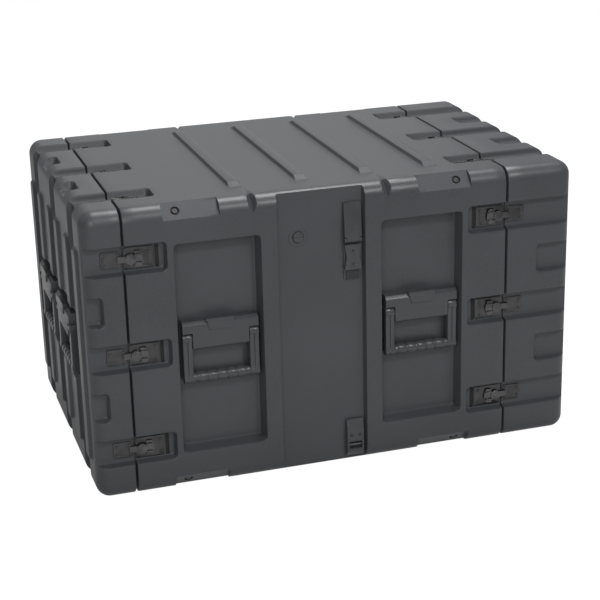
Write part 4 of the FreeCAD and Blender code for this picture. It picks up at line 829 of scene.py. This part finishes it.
# ------------------------------------------------------------------ pieces
class HardwareSizes(bpy.types.PropertyGroup):
    """Sizes of the metal and moulded fittings."""

    soft_edge: length("Soft edge", "Rounding of the fittings' edges", 0.0005)
    soft_handle: length("Handle edge", "Rounding of the handles' edges", 0.0012)
    counterbore: length("Counterbore", "Radius of the seat of a mount bolt", 0.009)
    counterbore_depth: length("Counterbore depth", "Depth of a mount bolt's seat", 0.005)
    rivet_height: length("Rivet height", "Height of a rivet's dome", 0.0014)
    screw_height: length("Screw height", "Height of a screw's head", 0.0022)
    bolt_height: length("Bolt height", "Height of a mount bolt's head", 0.0045)
    slot_start: length("Slot place", "From the rim to a latch channel's slot", 0.0605)
    slot_length: length("Slot length", "Length of the slot along the case", 0.0075)
    slot_width: length("Slot width", "Width of the slot across the channel", 0.046)
    # Depth below the channel's floor of the near-black slab that is painted shade in each latch
    # slot.
    slot_sink: length("Slot lining", "From the channel's floor to the slot's lining", 0.0010)
    slot_depth: length("Slot depth", "Depth of the slot in the channel's floor", 0.0055)


def tidied(mesh):
    """Merges doubles, turns faces outward and shades smooth up to the sharp angle."""
    work = bmesh.new()
    work.from_mesh(mesh)
    bmesh.ops.remove_doubles(work, verts=work.verts, dist=SAME_POINT)
    bmesh.ops.dissolve_degenerate(work, edges=work.edges, dist=SAME_POINT / 2)
    bmesh.ops.recalc_face_normals(work, faces=work.faces)
    for face in work.faces:
        face.smooth = True
    for edge in work.edges:
        edge.smooth = edge.calc_face_angle(0.0) < CREASE
    work.to_mesh(mesh)
    work.free()
    return mesh


def baked(mesh, kind, settings):
    """A new mesh with one modifier applied."""
    holder = bpy.data.objects.new("holder", mesh)
    bpy.context.collection.objects.link(holder)
    modifier = holder.modifiers.new(kind.title(), kind)
    for name, value in settings.items():
        setattr(modifier, name, value)
    graph = bpy.context.evaluated_depsgraph_get()
    result = bpy.data.meshes.new_from_object(holder.evaluated_get(graph), depsgraph=graph)
    bpy.data.objects.remove(holder)
    return result


def placed(name, mesh, nodes, body=None, slot=None):
    """Links a finished mesh, with its material, and lets it ride its body."""
    piece = bpy.data.objects.new(name, mesh)
    bpy.context.collection.objects.link(piece)
    finish = slot or SLOTS[nodes[0]]
    mesh.materials.clear()
    mesh.materials.append(material_for(finish))
    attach(piece, body or BODY_OF[nodes[0]])
    if nodes:
        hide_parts(*nodes)
    return piece


def softened(node, width):
    """A copy of a CAD node with rounded edges, shown in its place."""
    mesh = frame["nodes"][node].data.copy()
    work = bmesh.new()
    work.from_mesh(mesh)
    bmesh.ops.remove_doubles(work, verts=work.verts, dist=SAME_POINT)
    bmesh.ops.dissolve_limit(work, angle_limit=FLUSH, verts=work.verts, edges=work.edges)
    bmesh.ops.recalc_face_normals(work, faces=work.faces)
    for face in work.faces:
        face.smooth = True
    work.to_mesh(mesh)
    work.free()
    bevel = {"width": width, "segments": 2, "limit_method": "ANGLE", "harden_normals": True,
             "angle_limit": CREASE, "use_clamp_overlap": True}
    return placed(f"{node}_looks", baked(mesh, "BEVEL", bevel), [node])


def islands(node):
    """Vertices of each separate solid of a CAD node."""
    work = bmesh.new()
    work.from_mesh(frame["nodes"][node].data)
    bmesh.ops.remove_doubles(work, verts=work.verts, dist=SAME_POINT)
    seen, groups = set(), []
    for vertex in work.verts:
        if vertex in seen:
            continue
        seen.add(vertex)
        group, queue = [], [vertex]
        while queue:
            current = queue.pop()
            group.append(current.co[:])
            for edge in current.link_edges:
                other = edge.other_vert(current)
                if other not in seen:
                    seen.add(other)
                    queue.append(other)
        groups.append(np.array(group))
    work.free()
    return groups


def head_of(points):
    """Centre of a fastener's outer face, its outward direction and its head's radius."""
    centre = (points.min(0) + points.max(0)) / 2
    spread, axes = np.linalg.eigh(np.cov((points - points.mean(0)).T))
    odd = 2 if spread[2] - spread[1] > spread[1] - spread[0] else 0
    axis = axes[:, odd]
    along = (points - centre) @ axis
    across = np.linalg.norm(points - centre - np.outer(along, axis), axis=1)
    outermost = along[across > across.max() * 0.98].mean()
    if outermost < (along.max() + along.min()) / 2:
        axis, along = -axis, -along
    return centre + axis * along.max(), axis, across.max()


def revolved(profile, sides):
    """A closed mesh turned about Z, from (radius, height) pairs."""
    turns = np.linspace(0, 2 * math.pi, sides, endpoint=False)
    points = [(r * math.cos(a), r * math.sin(a), z) for r, z in profile for a in turns]
    faces = [tuple(range(sides))[::-1]]
    for ring in range(len(profile) - 1):
        low, high = ring * sides, (ring + 1) * sides
        for k in range(sides):
            after = (k + 1) % sides
            faces.append((low + k, low + after, high + after, high + k))
    faces.append(tuple(range(len(points) - sides, len(points))))
    mesh = bpy.data.meshes.new("revolved")
    mesh.from_pydata(points, [], faces)
    return mesh


def scatter_tree(name):
    """Geometry Nodes that put one head at each point, turned and sized as the point says."""
    tree = bpy.data.node_groups.new(name, "GeometryNodeTree")
    face = tree.interface
    face.new_socket("Geometry", in_out="INPUT", socket_type="NodeSocketGeometry")
    face.new_socket("Head", in_out="INPUT", socket_type="NodeSocketObject")
    face.new_socket("Height", in_out="INPUT", socket_type="NodeSocketFloat")
    face.new_socket("Material", in_out="INPUT", socket_type="NodeSocketMaterial")
    face.new_socket("Geometry", in_out="OUTPUT", socket_type="NodeSocketGeometry")
    nodes, link = tree.nodes, tree.links.new

    def add(kind, **settings):
        node = nodes.new(kind)
        for key, value in settings.items():
            setattr(node, key, value)
        return node

    entry = add("NodeGroupInput")
    head = add("GeometryNodeObjectInfo")
    turn = add("GeometryNodeInputNamedAttribute", data_type="QUATERNION")
    turn.inputs["Name"].default_value = "turn"
    radius = add("GeometryNodeInputNamedAttribute", data_type="FLOAT")
    radius.inputs["Name"].default_value = "radius"
    size = add("ShaderNodeCombineXYZ")
    spread = add("GeometryNodeInstanceOnPoints")
    real = add("GeometryNodeRealizeInstances")
    paint = add("GeometryNodeSetMaterial")
    leave = add("NodeGroupOutput")
    link(entry.outputs["Head"], head.inputs["Object"])
    link(entry.outputs["Geometry"], spread.inputs["Points"])
    link(head.outputs["Geometry"], spread.inputs["Instance"])
    link(turn.outputs["Attribute"], spread.inputs["Rotation"])
    link(radius.outputs["Attribute"], size.inputs["X"])
    link(radius.outputs["Attribute"], size.inputs["Y"])
    link(entry.outputs["Height"], size.inputs["Z"])
    link(size.outputs["Vector"], spread.inputs["Scale"])
    link(spread.outputs["Instances"], real.inputs["Geometry"])
    link(real.outputs["Geometry"], paint.inputs["Geometry"])
    link(entry.outputs["Material"], paint.inputs["Material"])
    link(paint.outputs["Geometry"], leave.inputs["Geometry"])
    return tree


def scattered(name, heads, template, height, nodes, slot):
    """Heads of one kind as one mesh, on the body of the CAD nodes they stand for."""
    cloud = bpy.data.meshes.new(name)
    cloud.from_pydata([tuple(place - axis * height) for place, axis, _ in heads], [], [])
    turns = [Vector((0, 0, 1)).rotation_difference(Vector(axis)) for _, axis, _ in heads]
    radii = [radius for *_, radius in heads]
    for label, kind, values in (("turn", "QUATERNION", turns), ("radius", "FLOAT", radii)):
        attribute = cloud.attributes.new(label, kind, "POINT")
        for item, value in zip(attribute.data, values):
            item.value = value
    shape = bpy.data.objects.new("head", template)
    holder = bpy.data.objects.new("holder", cloud)
    for item in (shape, holder):
        bpy.context.collection.objects.link(item)
    tree = scatter_tree(f"{name}_nodes")
    modifier = holder.modifiers.new("Scatter", "NODES")
    modifier.node_group = tree
    sockets = {item.name: item.identifier for item in tree.interface.items_tree
               if item.in_out == "INPUT"}
    modifier[sockets["Head"]] = shape
    modifier[sockets["Height"]] = height
    modifier[sockets["Material"]] = material_for(slot)
    graph = bpy.context.evaluated_depsgraph_get()
    mesh = bpy.data.meshes.new_from_object(holder.evaluated_get(graph), depsgraph=graph)
    for item in (holder, shape):
        bpy.data.objects.remove(item)
    return placed(name, tidied(mesh), nodes, BODY_OF[nodes[0]] if nodes else "case_body", slot)


def dome_head():
    """A rivet's dome, one across and one high."""
    turns = np.linspace(0, math.pi / 2, 4)[:-1]
    profile = [(math.cos(a), math.sin(a)) for a in turns] + [(0.25, 0.98)]
    return revolved([(1.0, -0.5)] + profile, 12)


def socket_head():
    """A screw's rounded head with a recess for its driver."""
    profile = [(1.0, -0.2), (1.0, 0.45), (0.92, 0.75), (0.7, 0.95), (0.42, 1.0), (0.36, 0.5),
               (0.05, 0.5)]
    return revolved(profile, 12)


def bolt_head():
    """A hexagon bolt's head on a washer face."""
    profile = [(1.0, 0.0), (1.0, 0.25), (0.88, 0.25), (0.88, 0.85), (0.78, 1.0), (0.1, 1.0)]
    return revolved(profile, 6)


# ------------------------------------------------------------------ operators
class PieceOperator:
    """What the operators share: sizes from the scene, and an error if nothing was made."""

    bl_options = {"REGISTER", "UNDO"}

    def execute(self, context):
        made = self.build(context.scene.rack_shell, context.scene.rack_hardware)
        if not made:
            raise RuntimeError(f"{self.bl_label} made nothing")
        return {"FINISHED"}


def cylinder(radius, start, end, sides=40):
    """A capped cylinder between two points."""
    axis = Vector(end) - Vector(start)
    turn = Vector((0, 0, 1)).rotation_difference(axis)
    mesh = revolved([(radius, 0.0), (radius, axis.length)], sides)
    mesh.transform(Matrix.Translation(Vector(start)) @ turn.to_matrix().to_4x4())
    return mesh


def slab(low, high):
    """A box between two corners."""
    mesh = bpy.data.meshes.new("slab")
    work = bmesh.new()
    bmesh.ops.create_cube(work, size=1.0)
    work.to_mesh(mesh)
    work.free()
    low, high = Vector(low), Vector(high)
    mesh.transform(Matrix.Translation((low + high) / 2) @ Matrix.Diagonal((*(high - low), 1.0)))
    return mesh


def united(meshes):
    """One mesh from several that don't touch."""
    work = bmesh.new()
    for mesh in meshes:
        work.from_mesh(mesh)
    bmesh.ops.recalc_face_normals(work, faces=work.faces)
    result = bpy.data.meshes.new("united")
    work.to_mesh(result)
    work.free()
    return result


def bores(sizes, hardware):
    """Seats of the mount bolts and the slots in the latch channels' floors."""
    tools = []
    drop = hardware.counterbore_depth
    for points in islands("shock_mount_bolts"):
        face, axis, _ = head_of(points)
        floor = Vector(face) - Vector(axis) * hardware.bolt_height
        tools.append(cylinder(hardware.counterbore, floor, floor + Vector(axis) * drop * 3))
    start = sizes.channel_depth - hardware.slot_depth
    return united(tools + slot_slabs(sizes, hardware, start, hardware.slot_depth * 2))


def slot_slabs(sizes, hardware, start, thickness):
    """A slab at each latch channel's slot, from start below the skin."""
    made = []
    side, top = latch_levels()
    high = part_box("body_shell")[1]
    rim = high.x - sizes.tongue_reach
    near_y, near_z = high.y - start, high.z - sizes.rib_rise - start
    half = hardware.slot_width / 2
    for sign in (-1, 1):
        xs = sorted(sign * (rim - hardware.slot_start - step)
                    for step in (0.0, hardware.slot_length))
        for z in side:
            for turn in (-1, 1):
                ys = sorted((turn * (near_y - thickness), turn * near_y))
                made.append(slab((xs[0], ys[0], z - half), (xs[1], ys[1], z + half)))
        for y in top:
            made.append(slab((xs[0], y - half, near_z - thickness), (xs[1], y + half, near_z)))
    return made


class RACK_OT_sleeve(PieceOperator, bpy.types.Operator):
    """Moulded sleeve"""

    bl_idname = "rack_case.sleeve"
    bl_label = "Sleeve"

    def build(self, sizes, hardware):
        mesh = tidied(sleeve_mesh(sizes))
        cutter = bpy.data.objects.new("bores", bores(sizes, hardware))
        bpy.context.collection.objects.link(cutter)
        cut = {"operation": "DIFFERENCE", "solver": "EXACT", "object": cutter}
        mesh = tidied(baked(mesh, "BOOLEAN", cut))
        bpy.data.objects.remove(cutter)
        # A near-black slab sunk in each latch slot is painted shade: it darkens the slot the way
        # its shadow would.
        start = sizes.channel_depth + hardware.slot_sink
        painted_shade = united(slot_slabs(sizes, hardware, start, hardware.slot_depth / 2))
        return [placed("body_shell_looks", mesh, ["body_shell"]),
                placed("slot_linings", tidied(painted_shade), [], "case_body", "gasket_rubber")]


class RACK_OT_lids(PieceOperator, bpy.types.Operator):
    """Lift-off lids and their gaskets"""

    bl_idname = "rack_case.lids"
    bl_label = "Lids"

    def build(self, sizes, hardware):
        made = []
        for name, end in ENDS:
            mesh = tidied(lid_mesh(sizes, name, end))
            made.append(placed(f"{name}_lid_looks", mesh, [f"{name}_lid_shell"]))
            made.append(softened(f"{name}_lid_gasket", hardware.soft_edge))
        return made


class SoftenedPieces(PieceOperator):
    """CAD nodes shown with rounded edges; each operator says which nodes it takes."""

    rounding = "soft_edge"

    def build(self, sizes, hardware):
        nodes = sorted(node for node in frame["nodes"] if self.takes(node))
        return [softened(node, getattr(hardware, self.rounding)) for node in nodes]


class RACK_OT_latches(SoftenedPieces, bpy.types.Operator):
    """Twist latches, their bases and keepers"""

    bl_idname = "rack_case.latches"
    bl_label = "Latches"

    def takes(self, node):
        return node.startswith("latch_") or node.endswith("_keepers")


class RACK_OT_handles(SoftenedPieces, bpy.types.Operator):
    """Drop handles and their housings"""

    bl_idname = "rack_case.handles"
    bl_label = "Handles"
    rounding = "soft_handle"

    def takes(self, node):
        return "handle" in node and not node.endswith("screws")


class RACK_OT_frame(SoftenedPieces, bpy.types.Operator):
    """Rack frame, rails, shock mounts and their nuts"""

    bl_idname = "rack_case.frame"
    bl_label = "Rack frame"

    def takes(self, node):
        return node.startswith(("rack_", "shock_mounts", "shock_mount_n"))


class RACK_OT_fittings(SoftenedPieces, bpy.types.Operator):
    """Pressure valve, tie-down buckle and its anchor bracket"""

    bl_idname = "rack_case.fittings"
    bl_label = "Fittings"

    def takes(self, node):
        return node.startswith(("valve", "tie_down", "anchor"))


class RACK_OT_fasteners(PieceOperator, bpy.types.Operator):
    """Rivets, screws and bolts"""

    bl_idname = "rack_case.fasteners"
    bl_label = "Fasteners"

    def build(self, sizes, hardware):
        made = []
        groups = (("body_rivets", dome_head, hardware.rivet_height),
                  ("side_handle_screws", socket_head, hardware.screw_height),
                  ("rail_screws", socket_head, hardware.screw_height),
                  ("shock_mount_bolts", bolt_head, hardware.bolt_height),
                  ("front_lid_fasteners", dome_head, hardware.rivet_height),
                  ("rear_lid_fasteners", dome_head, hardware.rivet_height))
        for node, template, height in groups:
            heads = [head_of(points) for points in islands(node)]
            made.append(scattered(f"{node}_looks", heads, template(), height, [node], SLOTS[node]))
        return made


# ------------------------------------------------------------------ stage
FLOOR_GLOW = 1.35
FLOOR_THICKNESS = 0.02
FLOOR_DROP = 0.0005
SENSOR_WIDTH = 36.0
# Each light's power setting, place and side.
LIGHTS = (("key", (0.6, 0.4, 3.4), 1.4), ("back", (0.6, 3.6, 1.7), 2.6),
          ("top", (0.88, -2.4, 2.55), 0.5), ("fill", (-1.2, -2.8, 1.7), 1.2),
          ("rim", (-3.2, 0.6, 1.8), 1.8))


class StageSizes(bpy.types.PropertyGroup):
    """Camera, lights and floor."""

    azimuth: FloatProperty(name="Azimuth", description="Camera's turn about the case",
                           default=math.radians(-17.12), subtype="ANGLE")
    rise: FloatProperty(name="Elevation", description="Camera's height above level",
                        default=math.radians(19.66), subtype="ANGLE")
    roll: FloatProperty(name="Roll", description="Camera's turn about its own view",
                        default=math.radians(-1.46), subtype="ANGLE")
    target_x: length("Target along", "Point looked at, along the case", 0.05052)
    target_z: length("Target height", "Height of the point looked at", 0.24397)
    distance: length("Distance", "Camera to the point looked at", 3.43096)
    lens: FloatProperty(name="Focal length", description="In millimetres, on a 36 mm sensor",
                        default=95.21, unit="CAMERA")
    floor: tint("Floor", "Floor and backdrop", (0.60, 0.60, 0.60))
    floor_size: length("Floor size", "Side of the floor", 24.0)
    backdrop: FloatProperty(name="Backdrop", description="Share of plain white in the floor",
                            default=0.72, min=0.0, max=1.0)
    key: FloatProperty(name="Key light", description="Power of the light above", default=78.0,
                       unit="POWER")
    top: FloatProperty(name="Top light", description="Power of the light above the front",
                       default=34.0, unit="POWER")
    back: FloatProperty(name="Back light", description="Power of the backdrop's glow",
                        default=7.0, unit="POWER")
    fill: FloatProperty(name="Fill light", description="Power of the front light", default=25.0,
                        unit="POWER")
    rim: FloatProperty(name="Rim light", description="Power of the light at the left end",
                       default=2.0, unit="POWER")
    reflected: FloatProperty(name="Reflected backdrop", description="Share of the backdrop's "
                             "white that reflections see", default=0.25, min=0.0, max=1.0)
    sky: FloatProperty(name="Sky", description="Strength of the surrounding light", default=0.12)


def aimed(item, place, target, roll=0.0):
    """Turns an item's -Z from its place to the target."""
    place, target = Vector(place), Vector(target)
    turn = (target - place).to_track_quat("-Z", "Y")
    item.rotation_mode = "QUATERNION"
    item.rotation_quaternion = turn @ Quaternion((0, 0, 1), roll)
    item.location = place
    return item


def panel_light(name, place, target, size, power):
    """A square light aimed at the case."""
    lamp = bpy.data.lights.new(name, "AREA")
    lamp.shape, lamp.size, lamp.energy = "SQUARE", size, power
    item = bpy.data.objects.new(name, lamp)
    bpy.context.collection.objects.link(item)
    return aimed(item, place, target)


def seen_rays(graph, reflected):
    """1 for rays from the camera and a share for mirrored and refracted ones, 0 for the rest."""
    path = graph.node("ShaderNodeLightPath")
    camera, glossy, through = (Wire(graph, path.outputs[f"Is {kind} Ray"])
                               for kind in ("Camera", "Glossy", "Transmission"))
    return camera + (glossy + through) * reflected


def white_surround(world, strength, reflected):
    """A white backdrop to the camera and plain soft light to everything else."""
    world.use_nodes = True
    graph = Graph(world.node_tree)
    graph.tree.nodes.clear()
    soft, seen = (graph.node("ShaderNodeBackground", None, WHITE, level)
                  for level in (strength, 1.0))
    both = graph.node("ShaderNodeMixShader", None, seen_rays(graph, reflected),
                      Wire(graph, soft.outputs[0]), Wire(graph, seen.outputs[0]))
    graph.node("ShaderNodeOutputWorld", None, Wire(graph, both.outputs[0]))


def pale_floor(colour, share, reflected):
    """A pale floor that the camera sees as the white backdrop, with the case's shadow on it."""
    look = Finish("floor")
    look.set(Base_Color=colour, Roughness=0.9)
    white = look.node("ShaderNodeEmission", None, WHITE, FLOOR_GLOW)
    both = look.node("ShaderNodeMixShader", None, seen_rays(look, reflected) * share,
                     Wire(look, look.shader.outputs["BSDF"]), Wire(look, white.outputs[0]))
    out = look.tree.nodes["Material Output"]
    look.tree.links.new(both.outputs[0], out.inputs["Surface"])
    return look.material


class RACK_OT_stage(bpy.types.Operator):
    """Floor, lights and camera"""

    bl_idname = "rack_case.stage"
    bl_label = "Stage"

    def execute(self, context):
        stage = context.scene.rack_stage
        scene = context.scene
        target = Vector((stage.target_x, 0.0, stage.target_z))
        flat = math.cos(stage.rise)
        back = Vector((math.sin(stage.azimuth) * flat, -math.cos(stage.azimuth) * flat,
                       math.sin(stage.rise)))
        lens = bpy.data.cameras.new("camera")
        lens.lens, lens.sensor_width = stage.lens, SENSOR_WIDTH
        camera = bpy.data.objects.new("camera", lens)
        context.collection.objects.link(camera)
        scene.camera = aimed(camera, target + back * stage.distance, target, stage.roll)
        reach = stage.floor_size / 2
        mesh = slab((-reach, -reach, -FLOOR_THICKNESS), (reach, reach, -FLOOR_DROP))
        floor = bpy.data.objects.new("floor", mesh)
        context.collection.objects.link(floor)
        mesh.materials.append(pale_floor(tuple(stage.floor), stage.backdrop, stage.reflected))
        for name, place, size in LIGHTS:
            panel_light(name, place, target, size, getattr(stage, name))
        scene.world = scene.world or bpy.data.worlds.new("world")
        white_surround(scene.world, stage.sky, stage.reflected)
        scene.view_settings.view_transform = "Standard"
        return {"FINISHED"}


OPERATORS = (RACK_OT_sleeve, RACK_OT_lids, RACK_OT_latches, RACK_OT_handles, RACK_OT_frame,
             RACK_OT_fittings, RACK_OT_fasteners, RACK_OT_stage)
GROUPS = (("rack_shell", ShellSizes), ("rack_hardware", HardwareSizes),
          ("rack_finishes", Finishes), ("rack_stage", StageSizes))


class RACK_PT_panel(bpy.types.Panel):
    """Lists the case's pieces"""

    bl_idname = "RACK_PT_panel"
    bl_label = "Equipment Rack Case"
    bl_space_type = "VIEW_3D"
    bl_region_type = "UI"
    bl_category = "Rack Case"

    def draw(self, context):
        for operator in OPERATORS:
            self.layout.operator(operator.bl_idname)


def register():
    for name, group in GROUPS:
        bpy.utils.register_class(group)
        setattr(bpy.types.Scene, name, PointerProperty(type=group))
    for kind in (*OPERATORS, RACK_PT_panel):
        bpy.utils.register_class(kind)


def unregister():
    for kind in reversed((*OPERATORS, RACK_PT_panel)):
        bpy.utils.unregister_class(kind)
    for name, group in reversed(GROUPS):
        delattr(bpy.types.Scene, name)
        bpy.utils.unregister_class(group)


def main():
    """Builds the case and its stage."""
    for name in ("Cube", "Light", "Camera"):
        if name in bpy.data.objects:
            bpy.data.objects.remove(bpy.data.objects[name])
    register()
    for operator in OPERATORS:
        family, name = operator.bl_idname.split(".")
        getattr(getattr(bpy.ops, family), name)()


if __name__ == "__main__":
    main()
